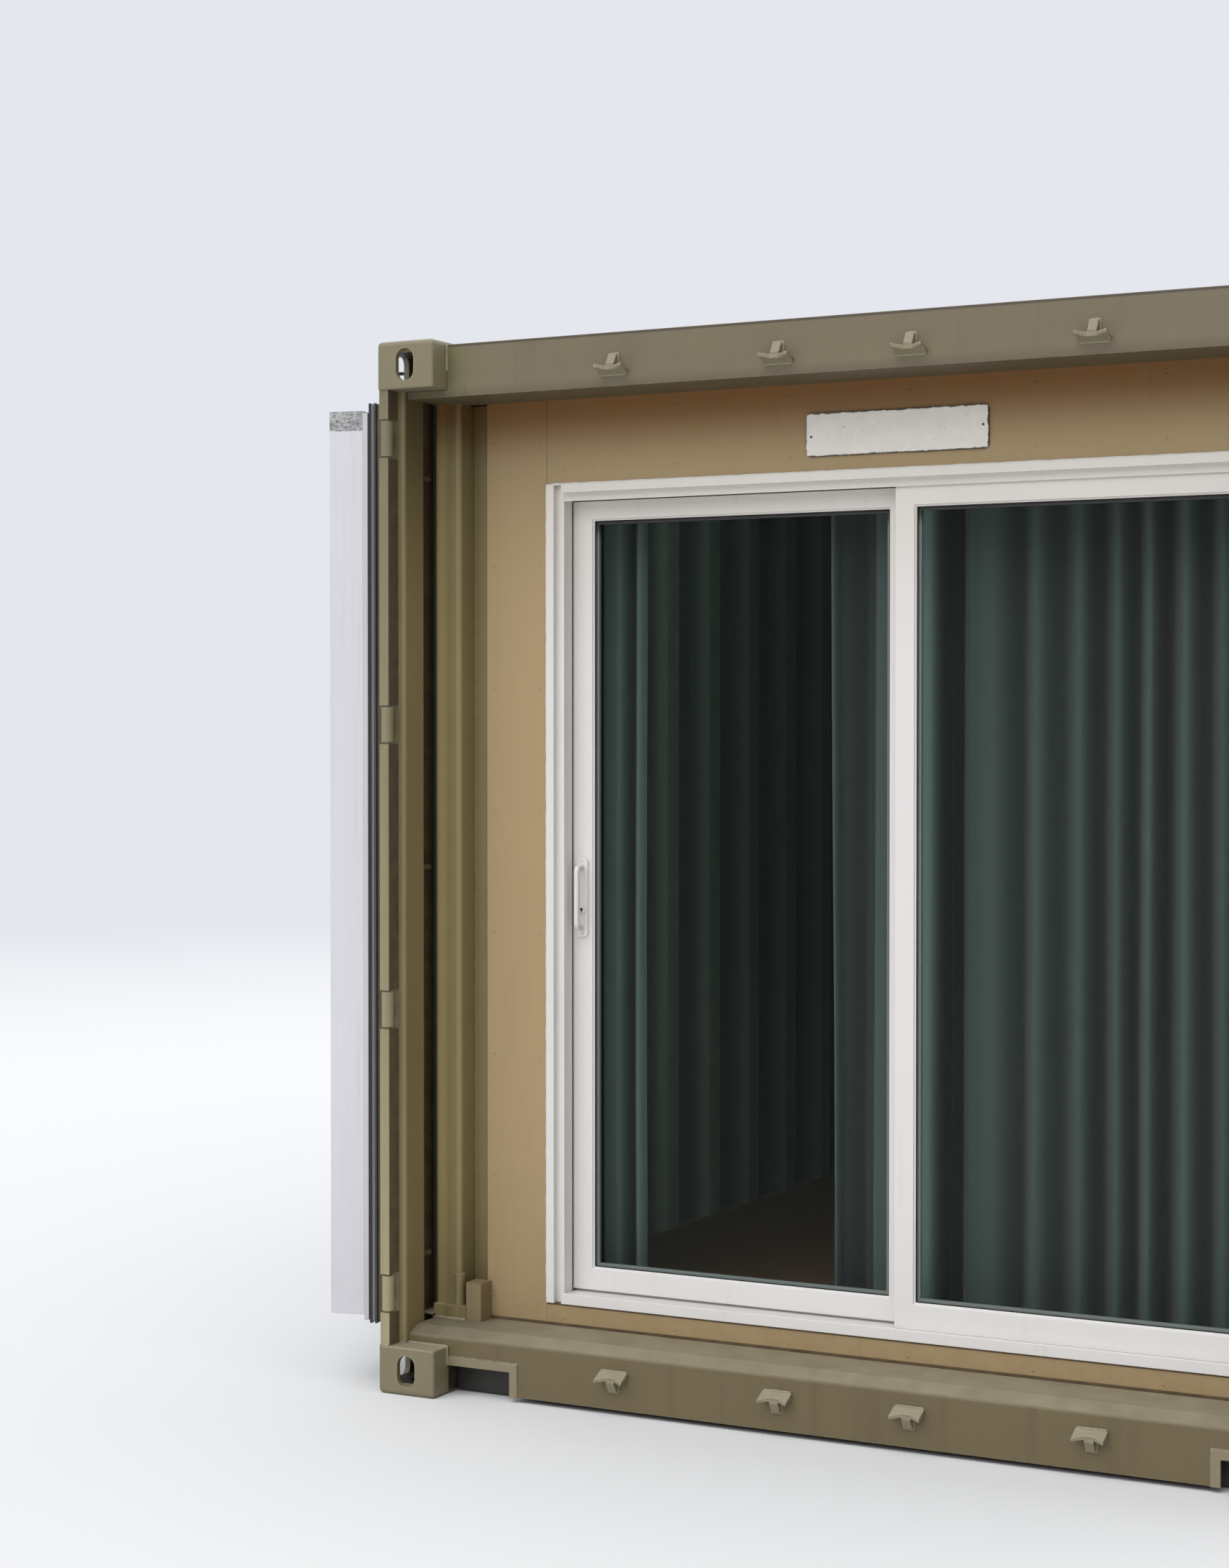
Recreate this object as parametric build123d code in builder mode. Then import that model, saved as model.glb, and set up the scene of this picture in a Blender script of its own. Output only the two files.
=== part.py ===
from build123d import *
import os

os.makedirs("parts", exist_ok=True)

# A twenty foot freight container turned into a cabin, in millimetres.
# Origin: middle of the footprint on the ground. +X right, +Y to the rear, +Z up.
# The cargo doors are at the -Y end. Places are given as an inset from the left
# outer face, a depth behind the front faces of the corner castings, a level
# above the ground, or a drop below the top.

# Overall size
width = 2438
length = 6058
height = 2591

# Corner castings
casting_x = 162
casting_y = 178
casting_z = 118
casting_wall = 15
casting_base = 28
casting_lid = 12
casting_corner_r = 14
casting_round = 12
casting_joint_r = 5
casting_edge_r = 6
slot_long = 124.5
slot_wide = 63.5
slot_inset = 89.5
slot_depth = 102.5
face_hole_high = 79.5
face_hole_wide = 51
face_hole_inset = 82

# Steel plate, rails and where their faces lie behind the castings
plate = 5
skin = 2
rail_inset = 6
rail_lift = 12
front_recess = 67
rear_recess = 6

# Door posts
post_inset = 5
lip_width = 30
lip_front = 6
lip_back = 53
post_face = 49
post_back = 147
post_wall = 6
post_edge_r = 10
flank_t = 9
lashing_r = 7
lashing_inset = 32
lashing_reach = 44
lashing_low = 320
lashing_drop = 323

# Cargo door hinges
pin_inset = 19
pin_depth = 20
pin_r = 8
pin_play = 0.3
pin_grip = 22
knuckle_r = 15
knuckle_high = 86
knuckle_gap = 5
hinge_count = 4
hinge_low = 245.5
hinge_drop = 237
strap_t = 12
strap_high = 60
strap_bend = 24
strap_reach = 236
open_angle = 258

# Header and sill, and the wall that stands behind them
header_low_drop = 137
header_top_drop = 8
wall_face = 245
wall_t = 113
wall_foot_high = 55
sill_nose = 140
sill_top = 158
sill_slope_end = 108
sill_behind = 7
sill_flange = 58
sill_edge_r = 10
cutout_wide = 177
cutout_high = 72
cutout_rim = 22
cutout_rim_t = 4

# Side rails, walls and roof
bottom_rail_top = 170
bottom_rail_flange = 43
top_rail = 60
top_rail_drop = 74
top_rail_wall = 4
wall_inset = 9
side_wave = 34
side_flat_out = 72
side_flat_in = 70
side_slope = 68
rear_wave = 44
rear_flat = 110
rear_slope = 18
roof_wave = 18
roof_crest_flat = 90
roof_valley_flat = 75
roof_slope = 22
rear_post_wide = 90
rear_post_chamfer = 30
rear_sill_top = 160
rear_rail = 60

# Floor and the frame under it
board_t = 28
member_base = 18
member_high = 122
member_wide = 45
member_t = 4
member_pitch = 300
pocket_wide = 352
pocket_high = 115
pocket_base = 20
pocket_centre = 1025
pocket_t = 5

# Square tube, filler and stop block beside the wall, and how far they stand before it
tube_inset = 41
tube_wide = 76
tube_before = 40
tube_deep = 88
tube_r = 12
foot_t = 34
foot_inset = 45
foot_wide = 93
foot_before = 53
boss_r = 14
boss_inset = 113
boss_before = 38
boss_high = 113
board_inset = 171
block_inset = 139
block_wide = 45
block_before = 56
block_high = 95
block_r = 5

# Cam keepers on header and sill: a ramped flange with pointed wings on a gusset
keeper_offsets = (164, 593)
keeper_wide = 74
keeper_high = 50
keeper_deep = 38
keeper_ramp = 18
keeper_flange_t = 14
keeper_tip_t = 8
keeper_notch = 14
keeper_web = 22
keeper_web_deep = 9
keeper_below_nose = 34
keeper_above_header = 26

# Patio door frame
frame_inset = 343
right_board = 39
frame_drop = 345
frame_proud = 5
frame_deep = 118
flange_w = 22
inner_w = 20
step_deep = 18
track_play = 6
pocket_deep = 6
sill_base_t = 23
sill_lip = 4
sill_lip_t = 6
runner_t = 5
runner_gap = 0.3
head_fin = 8
head_soffit = 34
rear_fin = 12
rear_upstand = 26

# Sliding sash and fixed panel
sash_wide = 905
meeting_overlap = 26
panel_t = 35
panel_gap = 5
fixed_set_back = 25
sash_stile = 58
sash_rail = 58
sash_top_rail = 49
sash_lift = 6
sash_top_gap = 6
fixed_stile = 52
glass_t = 18
bead = 4

# Handles of the sliding sash
handle_rise = 980
handle_plate_w = 30
handle_plate_h = 196
handle_plate_t = 7
handle_plate_r = 10
grip_high = 150
grip_reach = 28
grip_r = 7
grip_bend = 12
grip_root = 2
cylinder_r = 11
cylinder_proud = 11
cylinder_drop = 30

# Curtains and their rod
rod_r = 14
rod_rise = 64
cup_r = 24
cup_t = 12
curtain_behind = 57
curtain_t = 80
curtain_corner_r = 26
curtain_lift = 17
curtain_gap = 0.3
curtain_beyond = 23
left_curtain_wide = 196
right_curtain_wide = 1231

# Cargo door leaf, measured from its hinge pin in the closed door:
# along the leaf and inwards from the outer face
leaf_gap = 5
gasket_t = 8
gasket_deep = 20
gasket_groove = 8
gasket_groove_t = 4
leaf_face = 25
leaf_t = 40
leaf_lift = 9
leaf_drop = 13
gasket_margin = 2
leaf_stile = 70
leaf_rail = 110
leaf_wave = 30
leaf_flat = 120
leaf_slope = 30
lining_t = 12
lining_drop = 17
timber_t = 38
timber_deep = 89
timber_lift = 13
timber_drop = 11
timber_bays = 3
timber_kick = 100

# Lock bars with forked cams, guides and handles
bar_r = 13.5
bar_stand = 22
cam_wide = 58
cam_t = 12
cam_clear = 7
prong_t = 10.5
prong_reach = 28
prong_gap = 5
guide_wide = 70
guide_high = 50
guide_t = 6
guide_rises = (48, 713)
bar_handle_rise = 1013
bar_handle_length = 360
bar_handle_high = 32
bar_handle_t = 10
hub_high = 60
catch_wide = 50
catch_t = 6

# Levels and depths that follow from the sizes above
casting_soffit = height - casting_z
header_low = height - header_low_drop
header_top = height - header_top_drop
top_rail_low = height - top_rail_drop
lashing_top = height - lashing_drop
hinge_pitch = (height - hinge_drop - hinge_low) / (hinge_count - 1)
hinge_levels = [hinge_low + index * hinge_pitch for index in range(hinge_count)]
side_inner = wall_inset + side_wave + skin
wall_back = wall_face + wall_t
wall_top = top_rail_low - runner_gap
sill_back = wall_back + sill_behind
tube_front = wall_face - tube_before
floor_base = member_base + member_high
sill_keeper_edge = sill_nose - keeper_below_nose
header_keeper_edge = header_low + keeper_above_header


def x_at(inset):
    """X of a point at an inset from the left outer face."""
    return inset - width / 2


def y_at(depth):
    """Y of a point at a depth behind the front faces of the castings."""
    return depth - length / 2


def bar(low, high, mode=Mode.ADD):
    """Rectangular bar between two opposite corners, in the active place."""
    middle = tuple((a + b) / 2 for a, b in zip(low, high))
    with Locations(middle):
        Box(*(b - a for a, b in zip(low, high)), mode=mode)


def placed_bar(insets, depths, levels, mode=Mode.ADD):
    """Rectangular bar given by insets, depths and levels."""
    low = (x_at(insets[0]), y_at(depths[0]), levels[0])
    high = (x_at(insets[1]), y_at(depths[1]), levels[1])
    bar(low, high, mode)


def both_ends(reach):
    """Insets of a stretch at the left end and of its twin at the right end."""
    return (0, reach), (width - reach, width)


def wave(start, stop, outer, inner, flat_out, flat_in, slope):
    """Points of a trapezoid corrugation that starts and ends on its outer flats."""
    pitch = flat_out + flat_in + 2 * slope
    count = int((stop - start - flat_out) // pitch)
    lead = (stop - start + flat_out - count * pitch) / 2
    points = [(start, outer)]
    for index in range(count):
        first = start + lead + index * pitch
        points.append((first, outer))
        points.append((first + slope, inner))
        points.append((first + slope + flat_in, inner))
        points.append((first + 2 * slope + flat_in, outer))
    points.append((stop, outer))
    return points


def thick(points, shift):
    """Closed outline of a sheet: its points, then the same points shifted back."""
    moved = [(a + shift[0], b + shift[1]) for a, b in reversed(points)]
    return points + moved


def write(part, name):
    """Label one sub-part and write it."""
    part.label = name
    export_step(part, f"parts/{name}.step")


def write_pair(part, name):
    """Write a left-hand sub-part and its mirrored right-hand twin."""
    write(part, f"{name}_left")
    with BuildPart() as twin:
        mirror(part, about=Plane.YZ)
    write(twin.part, f"{name}_right")


# Corner castings: hollow blocks with oblong apertures for twistlocks and hooks
with BuildPart() as casting:
    placed_bar((0, casting_x), (0, casting_y), (0, casting_z))
    outer_corner = (x_at(0), y_at(0), 0)
    inner_corner = (x_at(casting_x), y_at(0), 0)
    upright = casting.edges().filter_by(Axis.Z)
    fillet(upright.sort_by_distance(outer_corner)[0], radius=casting_corner_r)
    upright = casting.edges().filter_by(Axis.Z)
    fillet(upright.sort_by_distance(inner_corner)[0], radius=casting_edge_r)
    for end, radius in ((0, casting_round), (-1, casting_joint_r)):
        end_face = casting.faces().filter_by(Axis.Z).sort_by(Axis.Z)[end]
        beside = (x_at(0), y_at(0), end_face.center().Z)
        fillet(end_face.edges().sort_by_distance(beside)[:3], radius=radius)
    placed_bar(
        (casting_wall, casting_x - casting_wall),
        (casting_wall, casting_y - casting_wall),
        (casting_base, casting_z - casting_lid),
        mode=Mode.SUBTRACT,
    )
    with BuildSketch(Plane.XY) as base_slot:
        with Locations((x_at(slot_inset), y_at(slot_depth))):
            SlotOverall(slot_long, slot_wide, rotation=90)
    extrude(amount=casting_base, mode=Mode.SUBTRACT)
    with BuildSketch(Plane.XZ.offset(-y_at(0))) as end_slot:
        with Locations((x_at(face_hole_inset), casting_z / 2)):
            SlotOverall(face_hole_high, face_hole_wide, rotation=90)
    extrude(amount=-casting_wall, mode=Mode.SUBTRACT)
    with BuildSketch(Plane.YZ.offset(x_at(0))) as side_slot:
        with Locations((y_at(slot_depth), casting_z / 2)):
            SlotOverall(face_hole_high, face_hole_wide, rotation=90)
    extrude(amount=casting_wall, mode=Mode.SUBTRACT)

mid_height = Plane.XY.offset(height / 2)
with BuildPart() as front_castings:
    add(casting.part)
    mirror(casting.part, about=mid_height)
write_pair(front_castings.part, "front_corner_castings")
with BuildPart() as rear_castings:
    mirror(front_castings.part, about=Plane.XZ)
write_pair(rear_castings.part, "rear_corner_castings")

# Door posts, with hinge lugs and lashing bars
notch_half = knuckle_high / 2 + knuckle_gap
with BuildPart() as door_post:
    with BuildSketch(Plane.XY.offset(casting_z)) as post_section:
        with BuildLine():
            Polyline(
                (x_at(post_inset), y_at(lip_front)),
                (x_at(lip_width), y_at(lip_front)),
                (x_at(lip_width), y_at(lip_back)),
                (x_at(post_face), y_at(lip_back)),
                (x_at(post_face), y_at(post_back)),
                (x_at(post_inset + flank_t), y_at(post_back)),
                (x_at(post_inset + flank_t), y_at(casting_y)),
                (x_at(post_inset), y_at(casting_y)),
                close=True,
            )
        make_face()
        fillet(post_section.vertices().group_by(Axis.X)[-1], radius=post_edge_r)
        middle_x = (x_at(post_inset) + x_at(post_face)) / 2
        middle_y = (y_at(lip_back) + y_at(post_back)) / 2
        with Locations((middle_x, middle_y)):
            Rectangle(
                post_face - post_inset - 2 * post_wall,
                post_back - lip_back - 2 * post_wall,
                mode=Mode.SUBTRACT,
            )
    extrude(amount=casting_soffit - casting_z)
    placed_bar(
        (post_inset, post_inset + flank_t),
        (casting_y, wall_face),
        (bottom_rail_top, top_rail_low),
    )
    for level in (lashing_low, (lashing_low + lashing_top) / 2, lashing_top):
        elbow = (x_at(lashing_inset), y_at(post_back + lashing_reach), level)
        with BuildSketch(Plane(elbow, z_dir=(0, -1, 0))):
            Circle(lashing_r)
        extrude(amount=lashing_reach + post_wall / 2)
        with BuildSketch(Plane(elbow, z_dir=(-1, 0, 0))):
            Circle(lashing_r)
        extrude(amount=lashing_inset - post_inset - flank_t / 2)
        with Locations(elbow):
            Sphere(lashing_r)
    for level in hinge_levels:
        placed_bar(
            (0, lip_width),
            (0, lip_back),
            (level - notch_half, level + notch_half),
            mode=Mode.SUBTRACT,
        )
        with Locations((x_at(pin_inset), y_at(pin_depth), level)):
            Cylinder(pin_r + pin_play, 2 * (notch_half + pin_grip), mode=Mode.SUBTRACT)
write_pair(door_post.part, "door_post")

# Hinge pins, held by the lugs of the posts
with BuildPart() as left_pins:
    with Locations([(x_at(pin_inset), y_at(pin_depth), level) for level in hinge_levels]):
        Cylinder(pin_r, 2 * (notch_half + pin_grip))
with BuildPart() as hinge_pins:
    add(left_pins.part)
    mirror(left_pins.part, about=Plane.YZ)
write(hinge_pins.part, "hinge_pins")

# Header above the cargo doors, a box beam that is notched round castings and rails
rail_edge = rail_inset + top_rail
with BuildPart() as door_header:
    with BuildSketch(Plane.YZ.offset(x_at(post_face))) as header_section:
        beam_deep = wall_face - front_recess
        beam_high = header_top - header_low
        with Locations((y_at(front_recess + beam_deep / 2), header_low + beam_high / 2)):
            Rectangle(beam_deep, beam_high)
            Rectangle(beam_deep - 2 * plate, beam_high - 2 * plate, mode=Mode.SUBTRACT)
    extrude(amount=width - 2 * post_face)
    for insets in both_ends(casting_x):
        placed_bar(insets, (0, casting_y), (casting_soffit, height), mode=Mode.SUBTRACT)
    for insets in both_ends(rail_edge):
        placed_bar(insets, (casting_y, wall_face), (top_rail_low, height), mode=Mode.SUBTRACT)
write(door_header.part, "door_header")

# Sill under the cargo doors, a bent plate with a framed cut-out beside each casting
with BuildPart() as door_sill:
    with BuildSketch(Plane.YZ.offset(x_at(post_face))) as sill_section:
        with BuildLine():
            Polyline(
                (y_at(front_recess), rail_lift),
                (y_at(front_recess), sill_nose),
                (y_at(sill_slope_end), sill_top),
                (y_at(sill_back), sill_top),
                (y_at(sill_back), sill_top - sill_flange),
                (y_at(sill_back - plate), sill_top - sill_flange),
                (y_at(sill_back - plate), sill_top - plate),
                (y_at(sill_slope_end + plate / 4), sill_top - plate),
                (y_at(front_recess + plate), sill_nose - plate / 2),
                (y_at(front_recess + plate), rail_lift),
                close=True,
            )
        make_face()
        nose = (y_at(front_recess), sill_nose, 0)
        fillet(sill_section.vertices().sort_by_distance(nose)[0], radius=sill_edge_r)
    extrude(amount=width - 2 * post_face)
    for insets in both_ends(casting_x):
        placed_bar(insets, (0, casting_y), (0, casting_z), mode=Mode.SUBTRACT)
    rim_front = front_recess - cutout_rim_t
    rim_right = casting_x + cutout_wide + cutout_rim
    for insets in ((casting_x, rim_right), (width - rim_right, width - casting_x)):
        placed_bar(insets, (rim_front, front_recess), (rail_lift, cutout_high + cutout_rim))
    cutout_right = casting_x + cutout_wide
    for insets in ((casting_x, cutout_right), (width - cutout_right, width - casting_x)):
        placed_bar(
            insets,
            (rim_front, front_recess + plate),
            (rail_lift, cutout_high),
            mode=Mode.SUBTRACT,
        )
write(door_sill.part, "door_sill")

# Square tubes that close the ends of the wall, with foot, boss and filler strip
return_front = tube_front + tube_deep + leaf_gap
with BuildPart() as jamb_tube:
    with BuildSketch(Plane.XY.offset(sill_top)) as tube_section:
        with Locations((x_at(tube_inset + tube_wide / 2), y_at(tube_front + tube_deep / 2))):
            RectangleRounded(tube_wide, tube_deep, tube_r)
            RectangleRounded(
                tube_wide - 2 * plate,
                tube_deep - 2 * plate,
                tube_r - plate,
                mode=Mode.SUBTRACT,
            )
    extrude(amount=header_low - sill_top)
    placed_bar(
        (foot_inset, foot_inset + foot_wide),
        (wall_face - foot_before, wall_face),
        (sill_top, sill_top + foot_t),
    )
    filler_back = tube_front + tube_deep - tube_r
    placed_bar(
        (tube_inset + tube_wide - plate, board_inset),
        (filler_back - plate, filler_back),
        (sill_top, header_low),
    )
    with Locations((x_at(boss_inset), y_at(wall_face - boss_before), sill_top + boss_high / 2)):
        Cylinder(boss_r, boss_high)
    placed_bar(
        (0, rail_inset + bottom_rail_flange + runner_gap),
        (0, return_front),
        (sill_top, bottom_rail_top),
        mode=Mode.SUBTRACT,
    )
write_pair(jamb_tube.part, "jamb_tube")

# Wooden stop blocks at the foot of the wall
with BuildPart() as left_block:
    placed_bar(
        (block_inset, block_inset + block_wide),
        (wall_face - block_before, wall_face),
        (sill_top, sill_top + block_high),
    )
    fillet(left_block.edges().filter_by(Axis.Z), radius=block_r)
with BuildPart() as stop_blocks:
    add(left_block.part)
    mirror(left_block.part, about=Plane.YZ)
write(stop_blocks.part, "stop_blocks")

# Framed and boarded wall round the patio door
frame_right = width - board_inset - right_board
frame_low = sill_top + wall_foot_high
frame_high = height - frame_drop
return_end = side_inner + leaf_gap
with BuildPart() as wall_left:
    placed_bar((board_inset, frame_inset), (wall_face, wall_back), (sill_top, wall_top))
    placed_bar((return_end, board_inset), (return_front, wall_back), (sill_top, wall_top))
write(wall_left.part, "wall_left")
with BuildPart() as wall_right:
    right_edge = width - board_inset
    placed_bar((frame_right, right_edge), (wall_face, wall_back), (sill_top, wall_top))
    placed_bar((right_edge, width - return_end), (return_front, wall_back), (sill_top, wall_top))
write(wall_right.part, "wall_right")
with BuildPart() as wall_head:
    head_top = header_top - roof_wave - skin - leaf_gap
    placed_bar((frame_inset, frame_right), (wall_face, wall_back), (frame_high, head_top))
write(wall_head.part, "wall_head")
with BuildPart() as wall_foot:
    placed_bar((frame_inset, frame_right), (wall_face, wall_back), (sill_top, frame_low))
write(wall_foot.part, "wall_foot")

# Patio door frame: two jambs, a head and a sill with its runner
frame_front = wall_face - frame_proud
frame_back = frame_front + frame_deep
step_depth = frame_front + step_deep
fixed_front = frame_front + fixed_set_back
sash_front = fixed_front + panel_t + panel_gap
track_split = sash_front - track_play
track_back = sash_front + panel_t + track_play
jamb_in = frame_inset + flange_w + inner_w
clear_wide = frame_right - frame_inset - 2 * (flange_w + inner_w)
with BuildPart() as patio_jamb:
    with BuildSketch(Plane.XY.offset(frame_low)) as jamb_section:
        with BuildLine():
            Polyline(
                (x_at(frame_inset), y_at(frame_front)),
                (x_at(frame_inset + flange_w), y_at(frame_front)),
                (x_at(frame_inset + flange_w), y_at(step_depth)),
                (x_at(jamb_in), y_at(step_depth)),
                (x_at(jamb_in), y_at(track_split)),
                (x_at(jamb_in - pocket_deep), y_at(track_split)),
                (x_at(jamb_in - pocket_deep), y_at(track_back)),
                (x_at(jamb_in), y_at(track_back)),
                (x_at(jamb_in), y_at(frame_back)),
                (x_at(frame_inset), y_at(frame_back)),
                close=True,
            )
        make_face()
    extrude(amount=frame_high - frame_low)
with BuildPart() as patio_jambs:
    add(patio_jamb.part)
    mirror(patio_jamb.part, about=Plane.YZ.offset(x_at((frame_inset + frame_right) / 2)))
write(patio_jambs.part, "patio_frame_jambs")

soffit = frame_high - head_soffit
with BuildPart() as patio_head:
    with BuildSketch(Plane.YZ.offset(x_at(jamb_in))) as head_section:
        with BuildLine():
            Polyline(
                (y_at(frame_front), frame_high),
                (y_at(frame_front), frame_high - flange_w),
                (y_at(step_depth), frame_high - flange_w),
                (y_at(step_depth), soffit - head_fin),
                (y_at(step_depth + sill_lip), soffit - head_fin),
                (y_at(step_depth + sill_lip), soffit),
                (y_at(track_back), soffit),
                (y_at(track_back), soffit - rear_fin),
                (y_at(frame_back), soffit - rear_fin),
                (y_at(frame_back), frame_high),
                close=True,
            )
        make_face()
    extrude(amount=clear_wide)
write(patio_head.part, "patio_frame_head")

sill_base = frame_low + sill_base_t
sash_low = sill_base + sash_lift
runner_top = sash_low - runner_gap
runner_depth = sash_front + (panel_t - runner_t) / 2
with BuildPart() as patio_sill:
    with BuildSketch(Plane.YZ.offset(x_at(jamb_in))) as patio_sill_section:
        with BuildLine():
            Polyline(
                (y_at(frame_front), frame_low),
                (y_at(frame_front), sill_base + sill_lip),
                (y_at(frame_front + sill_lip_t), sill_base + sill_lip),
                (y_at(frame_front + sill_lip_t), sill_base),
                (y_at(runner_depth), sill_base),
                (y_at(runner_depth), runner_top),
                (y_at(runner_depth + runner_t), runner_top),
                (y_at(runner_depth + runner_t), sill_base),
                (y_at(track_back), sill_base),
                (y_at(track_back), sill_base + rear_upstand),
                (y_at(frame_back), sill_base + rear_upstand),
                (y_at(frame_back), frame_low),
                close=True,
            )
        make_face()
    extrude(amount=clear_wide)
write(patio_sill.part, "patio_frame_sill")

sash_top = soffit - sash_top_gap
glass_low = sash_low + sash_rail
glass_high = sash_top - sash_top_rail
glass_set_back = (panel_t - glass_t) / 2


def glazed_frame(insets, levels, glass_insets, front):
    """Frame of a glazed panel, stepped back by a bead round the glass."""
    placed_bar(insets, (front, front + panel_t), levels)
    placed_bar(
        glass_insets,
        (front, front + panel_t),
        (glass_low, glass_high),
        mode=Mode.SUBTRACT,
    )
    placed_bar(
        (glass_insets[0] - bead, glass_insets[1] + bead),
        (front, front + bead),
        (glass_low - bead, glass_high + bead),
        mode=Mode.SUBTRACT,
    )


def pane(insets, front):
    """Sealed glass unit in the middle of a panel's thickness."""
    glass_front = front + glass_set_back
    placed_bar(insets, (glass_front, glass_front + glass_t), (glass_low, glass_high))


# Sliding sash on the inner track
sash_right = jamb_in + sash_wide
sash_glass = (jamb_in + sash_stile, sash_right - sash_stile)
with BuildPart() as sash_frame:
    glazed_frame((jamb_in, sash_right), (sash_low, sash_top), sash_glass, sash_front)
write(sash_frame.part, "sash_frame")
with BuildPart() as sash_pane:
    pane(sash_glass, sash_front)
write(sash_pane.part, "sash_glass")

# Fixed panel on the outer track
fixed_left = sash_right - meeting_overlap
fixed_right = jamb_in + clear_wide
fixed_glass = (fixed_left + fixed_stile, fixed_right - fixed_stile)
with BuildPart() as fixed_frame:
    glazed_frame((fixed_left, fixed_right), (sill_base, soffit), fixed_glass, fixed_front)
write(fixed_frame.part, "fixed_panel_frame")
with BuildPart() as fixed_pane:
    pane(fixed_glass, fixed_front)
write(fixed_pane.part, "fixed_panel_glass")

# Pull handles of the sash, the outer one with a key cylinder
handle_x = x_at(jamb_in + sash_stile / 2)
handle_mid = sash_low + handle_rise
with BuildPart() as sash_handles:
    for depth, outward in ((sash_front, -1), (sash_front + panel_t, 1)):
        near = y_at(depth)
        plate_origin = (handle_x, near, handle_mid)
        with BuildSketch(Plane(plate_origin, x_dir=(1, 0, 0), z_dir=(0, outward, 0))):
            RectangleRounded(handle_plate_w, handle_plate_h, handle_plate_r)
        extrude(amount=handle_plate_t)
        half = grip_high / 2
        root = near + outward * grip_root
        reach = near + outward * (handle_plate_t + grip_reach)
        with BuildLine() as grip_path:
            FilletPolyline(
                (handle_x, root, handle_mid - half),
                (handle_x, reach, handle_mid - half),
                (handle_x, reach, handle_mid + half),
                (handle_x, root, handle_mid + half),
                radius=grip_bend,
            )
        with BuildSketch(Plane(origin=grip_path.line @ 0, z_dir=grip_path.line % 0)):
            Circle(grip_r)
        sweep()
    cylinder_origin = (handle_x, y_at(sash_front), handle_mid - cylinder_drop)
    with BuildSketch(Plane(cylinder_origin, x_dir=(1, 0, 0), z_dir=(0, -1, 0))):
        Circle(cylinder_r)
    extrude(amount=cylinder_proud)
write(sash_handles.part, "sash_handles")

# Curtain rod between the side walls, and the space that the curtains fill
curtain_front = wall_back + curtain_behind
rod_depth = curtain_front + curtain_t / 2
rod_level = frame_high + rod_rise
curtain_low = floor_base + board_t + curtain_lift
with BuildPart() as curtain_rod:
    rod_reach = width / 2 - side_inner - curtain_gap
    with BuildSketch(Plane.YZ.offset(-rod_reach)):
        with Locations((y_at(rod_depth), rod_level)):
            Circle(rod_r)
    extrude(amount=2 * rod_reach)
    for start in (-rod_reach, rod_reach - cup_t):
        with BuildSketch(Plane.YZ.offset(start)):
            with Locations((y_at(rod_depth), rod_level)):
                Circle(cup_r)
        extrude(amount=cup_t)
write(curtain_rod.part, "curtain_rod")
left_curtain = (frame_inset - curtain_beyond, frame_inset - curtain_beyond + left_curtain_wide)
right_curtain = (frame_right + curtain_beyond - right_curtain_wide, frame_right + curtain_beyond)
for name, insets in (("curtain_left", left_curtain), ("curtain_right", right_curtain)):
    with BuildPart() as curtain:
        placed_bar(
            insets,
            (curtain_front, curtain_front + curtain_t),
            (curtain_low, rod_level - rod_r - curtain_gap),
        )
        fillet(curtain.edges().filter_by(Axis.Z), radius=curtain_corner_r)
    write(curtain.part, name)

# Bottom side rails with cut-outs for the fork pockets
rail_start = y_at(casting_y)
rail_end = y_at(length - casting_y)
with BuildPart() as bottom_rail:
    with BuildSketch(Plane.XZ.offset(-rail_start)) as rail_section:
        with BuildLine():
            Polyline(
                (x_at(rail_inset), rail_lift),
                (x_at(rail_inset), bottom_rail_top),
                (x_at(rail_inset + bottom_rail_flange), bottom_rail_top),
                (x_at(rail_inset + bottom_rail_flange), bottom_rail_top - plate),
                (x_at(rail_inset + plate), bottom_rail_top - plate),
                (x_at(rail_inset + plate), rail_lift + plate),
                (x_at(rail_inset + bottom_rail_flange), rail_lift + plate),
                (x_at(rail_inset + bottom_rail_flange), rail_lift),
                close=True,
            )
        make_face()
    extrude(amount=-(rail_end - rail_start))
    for centre in (-pocket_centre, pocket_centre):
        bar(
            (x_at(0), centre - pocket_wide / 2, pocket_base),
            (x_at(rail_inset + plate), centre + pocket_wide / 2, pocket_base + pocket_high),
            mode=Mode.SUBTRACT,
        )
write_pair(bottom_rail.part, "bottom_side_rail")

# Fork pockets, inverted channels from rail to rail
web_x = x_at(rail_inset + plate)
roof_level = pocket_base + pocket_high
with BuildPart() as fork_pockets:
    for centre in (-pocket_centre, pocket_centre):
        inside = pocket_wide / 2
        outside = inside + pocket_t
        bar(
            (web_x, centre - outside, roof_level),
            (-web_x, centre + outside, roof_level + pocket_t),
        )
        bar((web_x, centre - outside, member_base), (-web_x, centre - inside, roof_level))
        bar((web_x, centre + inside, member_base), (-web_x, centre + outside, roof_level))
write(fork_pockets.part, "fork_pockets")

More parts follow.
